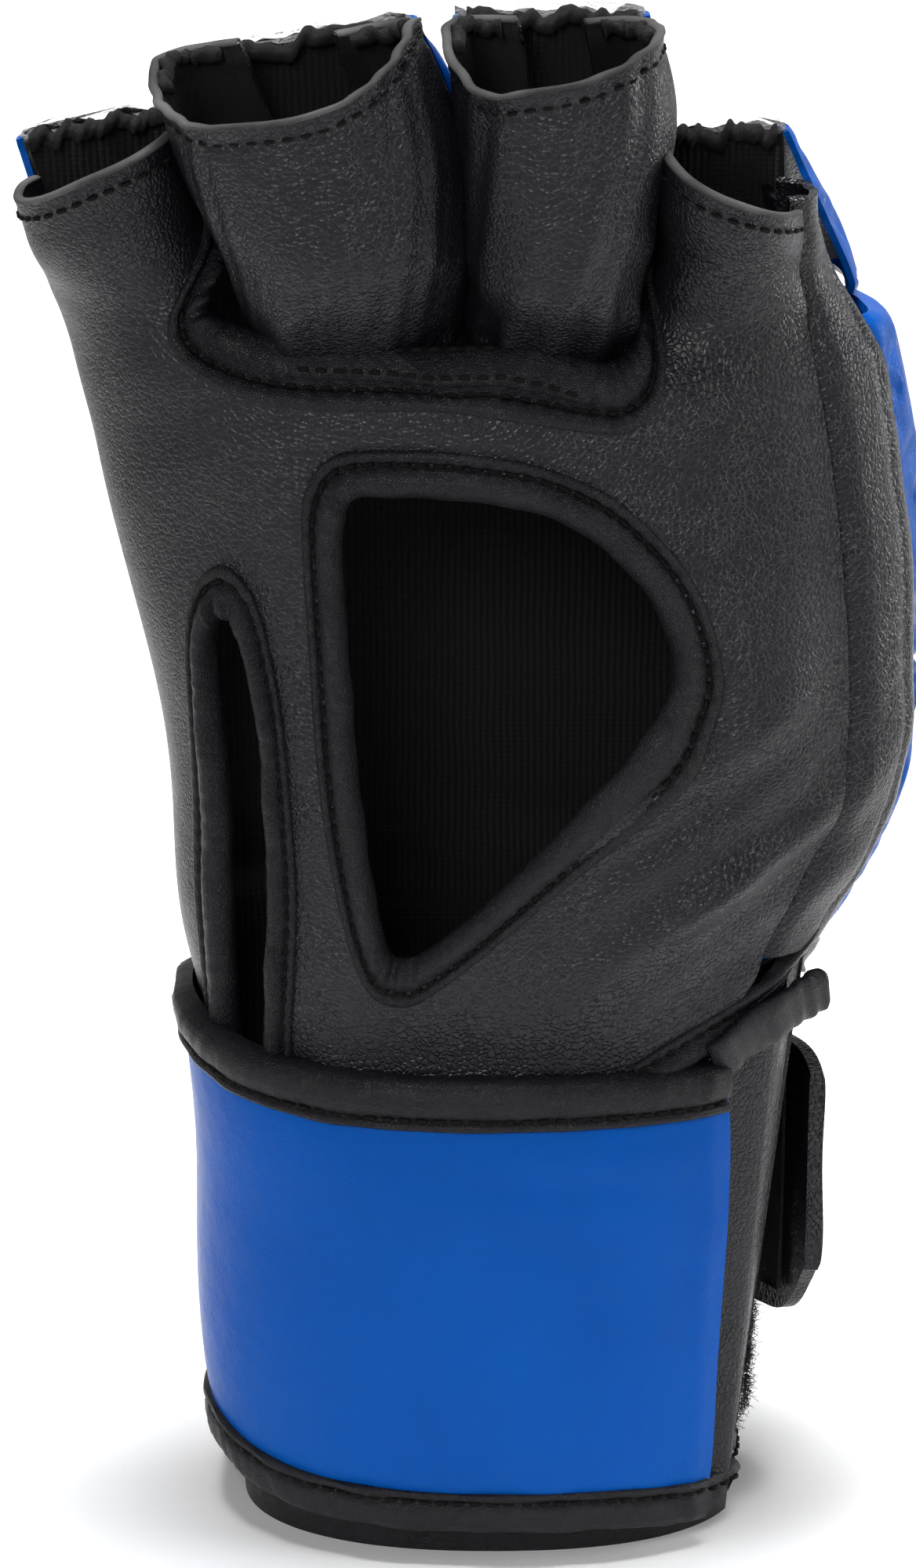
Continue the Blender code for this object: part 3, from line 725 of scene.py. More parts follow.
def foam():
    """White closed-cell foam with small open pores on its cut edge."""
    n = Nodes("white_foam")
    pores = n.cells(1600.0)
    grime = n.noise(300.0, 3.0)
    n.feed(n.shader.inputs["Base Color"], n.ramp(grime, [(0.3, (0.6, 0.6, 0.58)), (0.7, (0.82, 0.82, 0.81))]))
    n.feed(n.shader.inputs["Normal"], n.bump(pores, 0.0004, 0.8))
    return n.finish(Roughness=0.9)


def thread():
    """Twisted polyester thread."""
    n = Nodes("black_thread")
    twist = n.cells(5000.0)
    n.feed(n.shader.inputs["Base Color"], n.ramp(twist, [(0.2, (0.003, 0.003, 0.003)), (0.9, (0.01, 0.01, 0.01))]))
    n.feed(n.shader.inputs["Normal"], n.bump(twist, 0.0001, 0.8))
    return n.finish(Roughness=0.7, Specular_IOR_Level=0.1)


def grey(value, blue=1.0):
    return (value, value, value * blue)


BLACK = leather("black_pebbled_leather", grey(0.005, 1.5), grey(0.008, 1.4), 0.34, 0.00095, 0.00014, 0.0009, 0.38)
TAPE = leather("black_binding_tape", grey(0.004, 1.5), grey(0.007, 1.4), 0.38, 0.0004, 0.0001, 0.0006, 0.28)
BLUE = leather("blue_coated_leather", (0.0002, 0.070, 0.35), (0.0003, 0.080, 0.39), 0.3, 0.0005, 0.00004, 0.0006, 0.08)
EDGE = leather("cut_leather_edge", grey(0.03), grey(0.12), 0.7, 0.0003, 0.00005, 0.0001, 0.3)
KNIT = ribbed_knit()
FLEECE = pile("black_fleece", grey(0.002), grey(0.014), 2600.0)
LOOP = pile("black_loop_pile", grey(0.002), grey(0.010), 3200.0)
FOAM = foam()
THREAD = thread()


def dress(piece, slot_name, *nodes):
    """Hides the CAD nodes a piece stands for. slot_name is not used."""
    if nodes:
        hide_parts(*nodes)


def attach(piece, body, slot_name, *nodes):
    """Fixes a piece to one body."""
    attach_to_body(piece, body)
    dress(piece, slot_name, *nodes)


def blend(piece, start, end):
    """Bakes a piece's placement into its mesh. start and end, two points in section coordinates, are not used."""
    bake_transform(piece)


# ---------------------------------------------------------------- the palm's leather


class Tube:
    """A finger's stall: a leather tube open at the back, where the lining and the pad are."""

    def __init__(self, name):
        data = FINGERS[name]
        self.x, self.lean = data["x"], math.radians(data["lean"])
        self.width, self.drift = spline(data["widths"]), spline(data["drift"])
        self.front, self.rear = spline(data["front"]), spline(STALL_REAR)
        self.rim_up, self.curl = spline(data["rim"]), data["curl"]
        self.middle = self.place(0.0, 20.0, 15.0)  # a point inside the tube

    def place(self, across, up, forward):
        across = across + self.drift(np.asarray(up, float))
        return np.stack([
            self.x + across * math.cos(self.lean) - up * math.sin(self.lean),
            KNUCKLE[1] - forward,
            KNUCKLE[2] + across * math.sin(self.lean) + up * math.cos(self.lean),
        ], axis=-1)

    def point(self, angle, up, inset=0.0):
        """Angle 0 is the palm side, and the tube's two edges are near 150 and -150."""
        a = np.radians(angle)
        up = np.asarray(up, float) + 0 * a
        front, rear = self.front(up), self.rear(up)
        middle, deep, wide = (front + rear) / 2, (front - rear) / 2 - inset, self.width(up) - inset
        across = wide * rounded(np.sin(a), TUBE_POWER)
        forward = middle + deep * rounded(np.cos(a), TUBE_POWER)
        return self.place(across, up, forward)

    def rim(self, angle):
        angle = np.asarray(angle, float)
        share = rounded(np.sin(np.radians(np.clip(angle, -90, 90))), TUBE_POWER)
        rise = np.where(angle < 0, self.curl[0], self.curl[1])
        return self.rim_up(share) + rise * smooth_step((np.abs(angle) - 74) / 40)


TUBES = {name: Tube(name) for name in FINGERS}

# How angles round the hand run into angles round the index and little stalls.
INDEX_EDGE = -33.0
LITTLE_EDGE = 22.0
index_turn = spline([(-112, -128), (-90, -96), (-70, -52), (-49.7, 2), (-33, 78)])
little_turn = spline([(22, -84), (34.9, -4), (50, 66), (62, 92), (75, 118)])
COLUMN_START = 196.0
COLUMN_LENGTH = 26.0


def palm_folds(angle, z):
    """How far the palm's leather stands out in soft folds and bulges."""
    x = hand(angle, z)[..., 0]
    slant = (x - 46) * 0.62 - (z - 122) * 0.78
    corner = smooth_step((x - 4) / 22) * hill(z, 118, 22) * hill(x, 42, 24)
    wave = slant + 1.6 * np.sin((x * 0.78 + z * 0.62) / 11.0)
    out = corner * (0.8 * np.sin(wave / 1.6) + 1.7 * np.sin(wave / 3.6 + 1.0))
    out = out + 2.0 * hill(x, 49, 9) * hill(z, 146, 15) - 1.3 * hill(x, 52, 6) * hill(z, 118, 9)
    out = out - 1.1 * hill(x, 45, 5) * hill(z, 103, 8) + 0.9 * hill(x, 48, 4) * hill(z, 99, 4)
    out = out + 0.6 * hill(x, -2, 26) * hill(z, 192, 4) - 0.9 * hill(z, 88, 5) * hill(x, 2, 28)
    out = out + 0.5 * np.sin((z - x * 0.7) / 4.6) * hill(z, 190, 12) * hill(x, -44, 14)
    out = out + 0.35 * np.sin(x / 7.0 + z / 19.0) * np.sin(z / 11.0)
    out = out + 0.4 * np.sin((x * 0.8 + z) / 2.6) * hill(x, -22, 4) * hill(z, 92, 14)
    return out


def palm(angle, z):
    """The palm's leather, which runs on up the index and little stalls."""
    angle, z = np.asarray(angle, float), np.asarray(z, float)
    low = np.minimum(z, 214)
    base = hand(angle, low, palm_folds(angle, low))
    base[..., 2] = z
    share = smooth_step((z - COLUMN_START) / COLUMN_LENGTH)[..., None]
    up = z - KNUCKLE[2]
    wrinkle = 0.5 * ripple(up + angle * 0.25, 41, 12.0) * hill(up, 6, 12)
    left = TUBES["index"].point(index_turn(angle), up, -wrinkle)
    right = TUBES["little"].point(little_turn(angle), up, -wrinkle)
    tube = np.where((angle < 0)[..., None], left, right)
    return base * (1 - share) + tube * share


def front_line(points):
    """(angle, z) of an x and z line laid on the palm side."""
    line = np.array(points, float)
    return np.stack([angle_at(line[:, 0], line[:, 1]), line[:, 1]], axis=1)


def cut_line(pairs, share=0.55):
    """Where the leather is cut under a binding, as x and z points."""
    return [tuple(np.array(o) * (1 - share) + np.array(i) * share) for o, i in pairs]


def rim_line(tube, turn, start, end):
    angles = np.linspace(start, end, 26)
    return np.stack([angles, KNUCKLE[2] + tube.rim(turn(angles))], axis=1)


def palm_outline():
    """The palm leather's edge in (angle, z), from the wrist on the thumb side round by the little finger."""
    slot = front_line(open_line(cut_line(SLOT_BINDING, 0.1), 1.2))[::-1]
    slit = front_line(open_line(cut_line(SLIT_BINDING), 1.2))
    pieces = [
        np.array([(THUMB_SEAM, HAND_BOTTOM), (float(angle_at(20, HAND_BOTTOM)), HAND_BOTTOM)]),
        slit,
        np.array([(RIDGE, 106.0)]),
        rim_line(TUBES["little"], little_turn, RIDGE, LITTLE_EDGE),
        np.array([(LITTLE_EDGE, 218.0)]),
        slot,
        np.array([(INDEX_EDGE, 223.0)]),
        rim_line(TUBES["index"], index_turn, INDEX_EDGE, THUMB_SEAM),
    ]
    line = np.vstack(pieces)
    line[:, 0] = np.clip(line[:, 0], THUMB_SEAM, RIDGE)
    keep = np.ones(len(line), bool)
    keep[1:] = np.linalg.norm(np.diff(line, axis=0), axis=1) > 0.2
    return spaced_corners(line[keep], 1.2)


def spaced_corners(line, step):
    """The closed line's own points, with more put between those that are far apart."""
    made = []
    for a, b in zip(line, np.roll(line, -1, axis=0)):
        count = max(1, int(round(np.linalg.norm(b - a) / step)))
        made += [a + (b - a) * k / count for k in range(count)]
    return np.array(made)


def make_palm():
    holes = [front_line(closed_line(cut_line(PALM_BINDING), 1.2))]
    thumb = open_line(cut_line(THUMB_BINDING), 1.2)
    thumb = thumb[thumb[:, 1] > HAND_BOTTOM + 3]
    holes.append(front_line(thumb))
    uv, tris = flat_mesh(palm_outline(), holes, 1.25)
    middle = uv[tris].mean(1)
    high = middle[:, 1] > COLUMN_START - 4
    main = skin("palm_leather", palm, uv, tris, LEATHER, BLACK, ~high)
    attach(main, "hand", "black_leather", "palm_panel")
    for name, part in (("index", high & (middle[:, 0] < 0)), ("little", high & (middle[:, 0] > 0))):
        column = skin(f"{name}_column_leather", palm, uv, tris, LEATHER, BLACK, part)
        bend_column(column, name, f"{name}_flex_leather", f"{name}_stall")


def bend(piece, finger_name, low, high, slot_name, *nodes):
    """Passes a piece to blend with points at heights low and high on the finger's line, and hides the CAD nodes it
    stands for.
    """
    x = TUBES[finger_name].x
    blend(piece, (x, 0, low), (x, 0, high))
    dress(piece, slot_name, *nodes)


def bend_column(piece, finger_name, *nodes):
    """The same, over the root of a finger whose leather is one with the palm's."""
    bend(piece, finger_name, COLUMN_START - 2, KNUCKLE[2] + 12, "black_leather", *nodes)


# ---------------------------------------------------------------- bindings

# A binding's cross-section as share across, from the outer edge to the rolled one, and height over the leather.
TAPE_TOP = (
    (0.00, 0.45), (0.04, 0.8), (0.10, 0.98), (0.19, 0.95), (0.235, 0.6), (0.27, 0.0), (0.31, 0.0),
    (0.35, 0.75), (0.42, 1.35), (0.52, 1.85), (0.63, 2.15), (0.74, 2.15), (0.85, 1.75), (0.94, 0.95), (1.0, 0.0),
)
TAPE_UNDER = ((1.01, -1.0), (0.96, -2.0), (0.86, -2.7), (0.7, -2.9), (0.5, -2.7), (0.25, -2.1), (0.05, -1.6))
SEAM_SHARE, SEAM_HEIGHT = 0.29, 0.24
TAPE_STEP = 0.8


class Binding:
    """The two edges of a binding laid on the palm's leather, with its normals and its creases."""

    def __init__(self, pairs, closed, seed, pleats=0.8):
        both = np.array([(*o, *i) for o, i in pairs], float)
        line = closed_line(both, TAPE_STEP) if closed else open_line(both, TAPE_STEP)
        outer_uv, inner_uv = front_line(line[:, :2]), front_line(line[:, 2:])
        self.outer, self.inner = palm(*outer_uv.T), palm(*inner_uv.T)
        self.normal = surface_normals(palm, (outer_uv + inner_uv) / 2, HAND_MIDDLE)
        self.seed, self.pleats = seed, pleats
        middle = (self.outer + self.inner) / 2
        self.run = run_along(middle)
        along = unit(np.gradient(middle, axis=0))
        bend_rate = np.linalg.norm(np.gradient(along, axis=0), axis=1) / TAPE_STEP
        kernel = np.ones(9) / 9
        self.tight = smooth_step(np.convolve(bend_rate, kernel, "same") * 9 - 0.35)

    def height(self, share):
        """Creases and swells of the rolled part, and the pucker that each stitch makes."""
        rolled = smooth_step((share - 0.33) / 0.3)
        fine = ripple(self.run, self.seed, 3.0) * (0.10 + self.pleats * self.tight)
        swell = 0.28 * ripple(self.run, self.seed + 1, 15.0)
        pucker = 0.26 * np.cos(2 * math.pi * self.run / STITCH_PITCH) * hill(share, SEAM_SHARE, 0.13)
        return (fine + swell) * rolled + pucker

    def ring(self, share, height):
        at = share + 0.02 * ripple(self.run, self.seed + 2, 12.0) * smooth_step((share - 0.35) / 0.4)
        height = np.broadcast_to(height, self.run.shape)
        return self.outer + (self.inner - self.outer) * at[:, None] + self.normal * height[:, None]


def tape(name, pairs, closed, node, seed, tallness=1.0, pleats=0.8):
    """Binding tape rolled over a leather edge, between an outer and an inner line of x and z points."""
    b = Binding(pairs, closed, seed, pleats)
    rings = [b.ring(0.0, -0.3)]
    rings += [b.ring(share, height * tallness + b.height(share)) for share, height in TAPE_TOP]
    rings += [b.ring(share, height) for share, height in TAPE_UNDER]
    made = loft(name, np.stack(rings, axis=1), TAPE, closed_path=closed, sharp=75)
    attach(made, "hand", "black_tape", node)
    seam = b.ring(SEAM_SHARE, SEAM_HEIGHT)
    normal = b.normal
    if closed:
        seam, normal = np.vstack([seam, seam[:1]]), np.vstack([normal, normal[:1]])
    attach(stitches(name + "_stitches", seam, normal), "hand", "black_tape")


def tape_overlap(name, pairs, start, end, low, high, seed):
    """A second layer of tape sewn over a stretch of a binding, between two x places and two shares across."""
    b = Binding(pairs, False, seed)
    keep = (b.outer[:, 0] > start) & (b.outer[:, 0] < end) & (b.outer[:, 2] < 206)
    ends = np.minimum(b.outer[keep][:, 0] - start, end - b.outer[keep][:, 0])
    shares, heights = zip(*TAPE_TOP)
    profile = np.linspace(low, high, 12)
    lift = 0.8 + 0.08 * ripple(b.run[keep], seed, 4.0) - 0.6 * quarter_round(ends / 0.8)
    rings = [b.ring(low, -0.2)[keep]]
    for share in profile:
        base = np.interp(share, shares, heights) * 0.8 + 0.35
        edge = 0.25 * (quarter_round((share - low) / 0.06) + quarter_round((high - share) / 0.06))
        rings.append(b.ring(share, base - edge + b.height(share) * 0.6)[keep] + b.normal[keep] * lift[:, None])
    rings.append(b.ring(high, -0.2)[keep])
    attach(loft(name, np.stack(rings, axis=1), TAPE, sharp=75), "hand", "black_tape")
    for k, share in enumerate((low + 0.07, high - 0.12)):
        base = np.interp(share, shares, heights) * 0.8 + 0.35
        seam = b.ring(share, base)[keep] + b.normal[keep] * (lift[:, None] + 0.05)
        attach(stitches(f"{name}_stitches_{k}", seam[2:-2], b.normal[keep][2:-2]), "hand", "black_tape")


def make_bindings():
    tape("palm_opening_tape", PALM_BINDING, True, "palm_opening_binding", 11)
    tape("thumb_opening_tape", THUMB_BINDING, False, "thumb_opening_binding", 12)
    tape("finger_slot_tape", SLOT_BINDING, False, "finger_slot_binding", 13, tallness=1.25, pleats=1.7)
    tape_overlap("finger_slot_overlap", SLOT_BINDING, -25.0, 20.0, 0.36, 0.93, 17)
    tape("wrist_slit_tape", SLIT_BINDING, False, "wrist_slit_binding", 14, tallness=0.8)
    make_slit_end()


def make_slit_end():
    """The loose second layer of the wrist slit's tape, folded over on itself at its free end."""
    way = spline([(0.0, 46.0), (0.35, 56.0), (0.7, 66.0), (1.0, 74.0)])
    rise = spline([(0.0, 84.6), (0.35, 89.0), (0.7, 92.0), (1.0, 93.8)])
    clear = spline([(0.0, 2.0), (0.35, 2.8), (0.7, 4.4), (1.0, 6.4)])
    shares = np.linspace(0, 1, 46)
    middle = hand(way(shares), rise(shares), clear(shares))
    out = unit(hand(way(shares), rise(shares), clear(shares) + 1) - middle)
    along = unit(np.gradient(middle, axis=0))
    side = unit(np.cross(along, out))
    run = run_along(middle)
    ends = (1 - quarter_round(np.minimum(run, run[-1] - run) / 1.1))[:, None]
    rings = []
    for k in range(24):
        t = math.radians(15 * k)
        wide, thick = rounded(np.array(math.cos(t)), 3.0) * 4.2, rounded(np.array(math.sin(t)), 2.6) * 1.35
        fold = (0.45 * ripple(run + 2 * math.cos(t), 171, 7.0) + 0.35 * ripple(run, 172, 2.6))[:, None]
        rings.append(middle + ends * (side * wide + out * (thick + fold * (0.4 + 0.6 * abs(math.cos(t))))))
    attach(loft("wrist_slit_tape_end", np.stack(rings, axis=1), TAPE, sharp=75), "hand", "black_tape")


# ---------------------------------------------------------------- middle and ring stalls


def stall_outline(tube, start, end, foot):
    """A separate stall's flat shape in (angle, up): its foot, its rim and its two free edges."""
    angles = np.linspace(start, end, 60)
    low = foot + 5.0 * smooth_step((np.abs(angles) - 60) / 40)
    bottom = np.stack([angles, low], axis=1)
    top = np.stack([angles, tube.rim(angles)], axis=1)[::-1]
    return spaced_corners(np.vstack([bottom, top]), 2.0)


def stall_shape(tube, seed):
    """The tube with its bulges: full in the middle, pinched where it is sewn, and hooked in at its edges."""

    def shape(angle, up):
        angle, up = np.asarray(angle, float), np.asarray(up, float)
        wrinkle = 0.4 * ripple(up + angle * 0.11, seed, 10.0) * hill(up, 8, 12)
        wrinkle = wrinkle + 0.3 * ripple(angle * 0.5 - up * 0.4, seed + 3, 9.0)
        wrinkle = wrinkle + 0.9 * ripple(angle * 0.35, seed + 5, 12.0) * hill(up, -1, 5)
        hook = 6.5 * smooth_step((np.abs(angle) - 126) / 40)
        lip = 0.8 * smooth_step((up - tube.rim(angle) + 4) / 4)
        pinch = 0.4 * hill(up, tube.rim(angle) - 2.9, 0.8)
        return tube.point(angle, up, hook - wrinkle - lip + pinch)

    return shape


def make_stall(name):
    tube = TUBES[name]
    shape = stall_shape(tube, 31 + len(name))
    uv, tris = flat_mesh(stall_outline(tube, -158.0, 158.0, -6.0), [], 2.0)
    made = skin(f"{name}_stall_leather", shape, uv, tris, LEATHER, BLACK, middle=tube.middle, lining=FLEECE)
    bend(made, name, KNUCKLE[2] - 3, KNUCKLE[2] + 16, "black_leather", f"{name}_stall")
    rim_trim(name, shape, tube.rim, -157.0, 157.0)
    make_curl_fleece(name, shape)


def rim_trim(name, shape, rim, start, end):
    """A stall's raw cut rim and the stitch line just below it. rim gives its height as shape's second value."""
    angles = np.linspace(start, end, 160)
    tops = rim(angles)
    middle = TUBES[name].middle
    seam_uv = np.stack([angles, tops - 2.9], axis=1)
    normal = surface_normals(shape, seam_uv, middle)
    row = stitches(f"{name}_rim_stitches", shape(*seam_uv.T) + normal * 0.16, normal, radius=0.34)
    attach(row, name, "black_leather")
    normal = surface_normals(shape, np.stack([angles, tops], axis=1), middle)
    line = shape(angles, tops)
    up = unit(shape(angles, tops + 0.1) - line)
    profile = ((0.06, -0.5), (0.1, 0.1), (-LEATHER / 2, 0.28), (-LEATHER - 0.1, 0.1), (-LEATHER - 0.06, -0.5))
    rings = [line + normal * side + up * rise for side, rise in profile]
    attach(loft(f"{name}_rim_edge", np.stack(rings, axis=1), EDGE, sharp=None), name, "black_leather")


def make_curl_fleece(name, shape):
    """The fleece inside a stall's two curled-in sides, just under its rim."""
    tube = TUBES[name]
    for side, start, end in (("low", -84.0, -150.0), ("high", 84.0, 150.0)):
        angles = np.linspace(start, end, 60)
        run = np.abs(angles) * 0.3
        tops = tube.rim(angles) - 1.1 + 0.5 * ripple(run, 140 + len(name), 5.0)
        normal = surface_normals(shape, np.stack([angles, tops], axis=1), tube.middle)
        inner = shape(angles, tops) - normal * 2.3
        up = unit(shape(angles, tops + 0.1) - shape(angles, tops))
        rings = []
        for k in range(12):
            t = math.radians(k * 30)
            size = (1.25 + 0.45 * ripple(run + 0.5 * k, 150 + len(name), 3.0))[:, None]
            rings.append(inner + size * (normal * math.cos(t) * 0.8 + up * math.sin(t)))
        fleece = loft(f"{name}_curl_fleece_{side}", np.stack(rings, axis=1), FLEECE, sharp=None)
        attach(fleece, name, "knit_lining")


def make_rims():
    for name, turn, start, end in (
        ("index", index_turn, THUMB_SEAM + 1, INDEX_EDGE - 0.5),
        ("little", little_turn, LITTLE_EDGE + 0.5, RIDGE - 0.2),
    ):
        rim = lambda a, tube=TUBES[name], turn=turn: KNUCKLE[2] + tube.rim(turn(a))
        rim_trim(name, palm, rim, start, end)


# ---------------------------------------------------------------- side and lining


def side_shape(share, z):
    """The black roll between the palm's ridge and the blue pad, up the little finger's side."""
    share, z = np.asarray(share, float), np.asarray(z, float)
    angle = RIDGE + (BACK_SEAM - RIDGE) * share
    puff = np.sqrt(np.maximum(0, 1 - (2 * np.clip(share, 0, 1) - 1) ** 2)) * smooth_step((z - 101) / 12)
    base = palm(angle, z)
    out = unit(base - np.stack([0 * z + 10, 0 * z + 5, z], axis=-1))
    tuck = -2.2 * hill(share, 0, 0.1) - 2.0 * hill(share, 1, 0.1)
    fold = 0.25 * ripple(z + 9 * share, 51, 14.0) - 0.7 * hill(share, 0.62, 0.05)
    return base + out * (2.2 * puff + tuck + fold * puff)[..., None]


def make_side_panel():
    top = float(KNUCKLE[2] + TUBES["little"].rim(little_turn(RIDGE))) + 1.5
    points = grid_points(side_shape, np.linspace(0, 1, 27), np.append(np.arange(101.5, top, 1.5), top))
    split = COLUMN_START - 4
    low = grid_sheet("side_roll", points, LEATHER, BLACK, HAND_MIDDLE, lambda m: m[:, 2] <= split)
    attach(low, "hand", "black_leather", "side_panel")
    high = grid_sheet("little_side_roll", points, LEATHER, BLACK, HAND_MIDDLE, lambda m: m[:, 2] > split)
    bend_column(high, "little")


def make_gusset():
    """Leather that closes the side of the little finger between its column and its pad."""
    shares, zs = np.linspace(0.9, 1.5, 14), np.arange(197.0, 224.0, 1.5)
    points = grid_points(lambda s, z: side_shape(np.minimum(s, 1.0) + 0 * s, z) + gusset_way(s), shares, zs)
    made = grid_sheet("little_gusset", points, LEATHER, BLACK, HAND_MIDDLE)
    bend_column(made, "little")


def gusset_way(share):
    """From the side roll's back edge the gusset runs straight back, a little inwards."""
    beyond = np.clip(share - 1, 0, 1)
    return np.stack([-4.0 * beyond, 34.0 * beyond, 0 * beyond], axis=-1)


def lining_shape(share, z):
    """The ribbed lining across the back of the hand, with slack folds over the wrist. share runs from -1 to 1."""
    share, z = np.asarray(share, float), np.asarray(z, float)
    rows = section_at(z)
    half = (rows[..., 1] - rows[..., 0]) / 2 - 3.2 - 9.0 * smooth_step((z - 190) / 14)
    x = (rows[..., 0] + rows[..., 1]) / 2 + share * half
    folds = 2.0 * np.sin((z + 0.2 * x + 2 * np.sin(x / 9)) / 2.9) * hill(z, 110, 8)
    folds = folds + 0.5 * ripple(z + 0.3 * x, 5, 30) + 2.5 * hill(z, 104, 6)
    return np.stack([x, 13.6 - 9 * np.abs(share) ** 3 - folds, z], axis=-1)


def make_lining():
    points = grid_points(lining_shape, np.linspace(-1, 1, 96), np.linspace(30, 209, 170))
    made = grid_sheet("ribbed_back_lining", points, 1.0, KNIT, (5, 200, 150))
    attach(made, "hand", "knit_lining", "back_lining")
    web_at = lambda x, z: np.stack([x, 15.2 + 0 * x, z], axis=-1)
    web = grid_points(web_at, np.linspace(-52, 46, 60), np.linspace(198, 222, 20))
    made = grid_sheet("knuckle_web", web, 1.0, KNIT, (5, 200, 150))
    attach(made, "hand", "knit_lining")


# ---------------------------------------------------------------- back pad


BAND_SEAM = 150.0  # height of the seam across the pad
UPRIGHT_SEAMS = ((-33.0, 0.16), (-1.0, 0.02), (29.0, -0.10))  # x at the groove, and lean


def back_channels(x, z):
    """Depth of the seams sewn in the back pad: three between the knuckles and one across below them."""
    channel = 0
    for middle, lean in UPRIGHT_SEAMS:
        line = middle + (GROOVE - z) * lean
        channel = channel + hill(x, line, 1.7) * smooth_step((z - BAND_SEAM - 3) / 8)
    return channel + hill(z, BAND_SEAM + 5 * np.cos(x / 24.0), 1.7)


def back_pad_shape(angle, z):
    """The blue pad over the back of the hand."""
    angle, z = np.asarray(angle, float), np.asarray(z, float)
    x = hand(angle, z)[..., 0]
    side = 3.2 * quarter_round((angle - BACK_SEAM) / 9) + 3.2 * quarter_round((360 + THUMB_SEAM - angle) / 9)
    foot = 4.5 * quarter_round((z - PAD_BOTTOM) / 7)
    top = 5.0 * quarter_round((GROOVE - z) / 6) * (1 - 0.6 * hill(angle, BACK_SEAM, 14))
    return hand(angle, z, 0.2 - side - foot - top - 2.3 * back_channels(x, z))


def make_back_pad():
    angles, zs = np.linspace(BACK_SEAM, 360 + THUMB_SEAM, 170), np.linspace(PAD_BOTTOM, GROOVE, 108)

    def held(u, v):
        x = hand(u, v)[..., 0]
        return back_channels(x, v) > 0.45

    points = padded_grid(back_pad_shape, angles, zs, (64, 42), held, 6.0, 3.0, HAND_MIDDLE)
    made = grid_sheet("back_pad", points, LEATHER, BLUE, HAND_MIDDLE)
    attach(made, "hand", "blue_leather", "back_pad_cover", "back_pad_foam")
    seam_z = np.linspace(BAND_SEAM + 10, GROOVE - 6, 40)
    seam_lines = []
    for middle, lean in UPRIGHT_SEAMS:
        xs = middle + (GROOVE - seam_z) * lean
        seam_lines.append((180 - angle_at(xs, seam_z), seam_z))
    across = np.linspace(BACK_SEAM + 8, 360 + THUMB_SEAM - 8, 160)
    x = hand(across, BAND_SEAM)[..., 0]
    seam_lines.append((across, BAND_SEAM + 5 * np.cos(x / 24.0)))
    for k, (angles, zs) in enumerate(seam_lines):
        uv = np.stack([angles, zs], axis=1)
        normal = surface_normals(back_pad_shape, uv, HAND_MIDDLE)
        row = stitches(f"back_pad_stitches_{k}", back_pad_shape(*uv.T) + normal * 0.25, normal)
        attach(row, "hand", "blue_leather")


def piping(name, line, radius):
    """A thin round cord of tape along a line of points."""
    along = unit(np.gradient(line, axis=0))
    side = unit(np.cross(along, np.array([0.3, 0.5, 1.0])))
    over = np.cross(side, along)
    size = radius * (1 + 0.06 * ripple(run_along(line), 3, 6.0))[:, None]
    rings = [line + size * (side * math.cos(t) + over * math.sin(t)) for t in np.radians(np.arange(10) * 36)]
    attach(loft(name, np.stack(rings, axis=1), TAPE, sharp=None), "hand", "black_leather")


def make_piping():
    zs = np.arange(PAD_BOTTOM + 2, GROOVE - 8, 1.5)
    for name, angle in (("little_side_piping", BACK_SEAM), ("thumb_side_piping", THUMB_SEAM)):
        piping(name, hand(angle, zs, -0.9), 1.1)
    angles = np.arange(BACK_SEAM, 360 + THUMB_SEAM, 2.0)
    piping("pad_foot_piping", hand(angles, PAD_BOTTOM + 0.5, -0.4), 1.2)


# ---------------------------------------------------------------- finger pads


class Pad:
    """A finger's pad: its blue outer surface by angle (-90 to 90 over the back) and height, and its top edge."""

    def __init__(self, name, reach, over_rim):
        self.name, self.tube, self.reach = name, TUBES[name], reach
        self.top = float(self.tube.rim_up(0.0)) + over_rim
        self.thick = spline(((0, 30.0), (self.top * 0.5, 23.0), (self.top, 9.0)))

    def shape(self, angle, up):
        angle, up = np.asarray(angle, float), np.asarray(up, float)
        a = np.radians(angle)
        foot = 7.0 * quarter_round((up + 2.4) / 8)
        crest = 1.6 * smooth_step((up - self.top + 4) / 4)
        reach = np.where(angle > 0, self.reach * (1 - np.clip(up / self.top, 0, 1)), 0)
        across = (self.tube.width(up) - 0.8 + reach - foot * 0.25) * rounded(np.sin(a), 2.6)
        forward = self.tube.rear(up) - 1.0 - (self.thick(up) - foot - crest) * rounded(np.cos(a), 2.6)
        return self.tube.place(across, up, forward)


# How far a pad stands past its stall at the side, and how far it stands above the front of the rim.
PAD_SIZES = {"index": (0.0, 3.2), "middle": (0.0, 6.0), "ring": (0.0, 5.2), "little": (10.5, 4.0)}


def make_finger_pad(name):
    pad = Pad(name, *PAD_SIZES[name])
    tube = pad.tube
    angles, ups = np.linspace(-96, 96 + 10 * (pad.reach > 0), 64), np.linspace(-2.4, pad.top, 46)
    seam, inner = pad.top * 0.45, tube.place(0.0, 20.0, 5.0)

    def held(u, v):
        return np.abs(v - seam) < 0.1

    points = padded_grid(pad.shape, angles, ups, (34, 18), held, 5.0, 1.6, inner)
    cover = grid_sheet(f"{name}_pad", points, 1.1, BLUE, inner)
    bend(cover, name, KNUCKLE[2] - 3, KNUCKLE[2] + 10, "blue_leather", f"{name}_pad_cover")
    make_pad_foam(pad)
    make_finger_lining(pad)


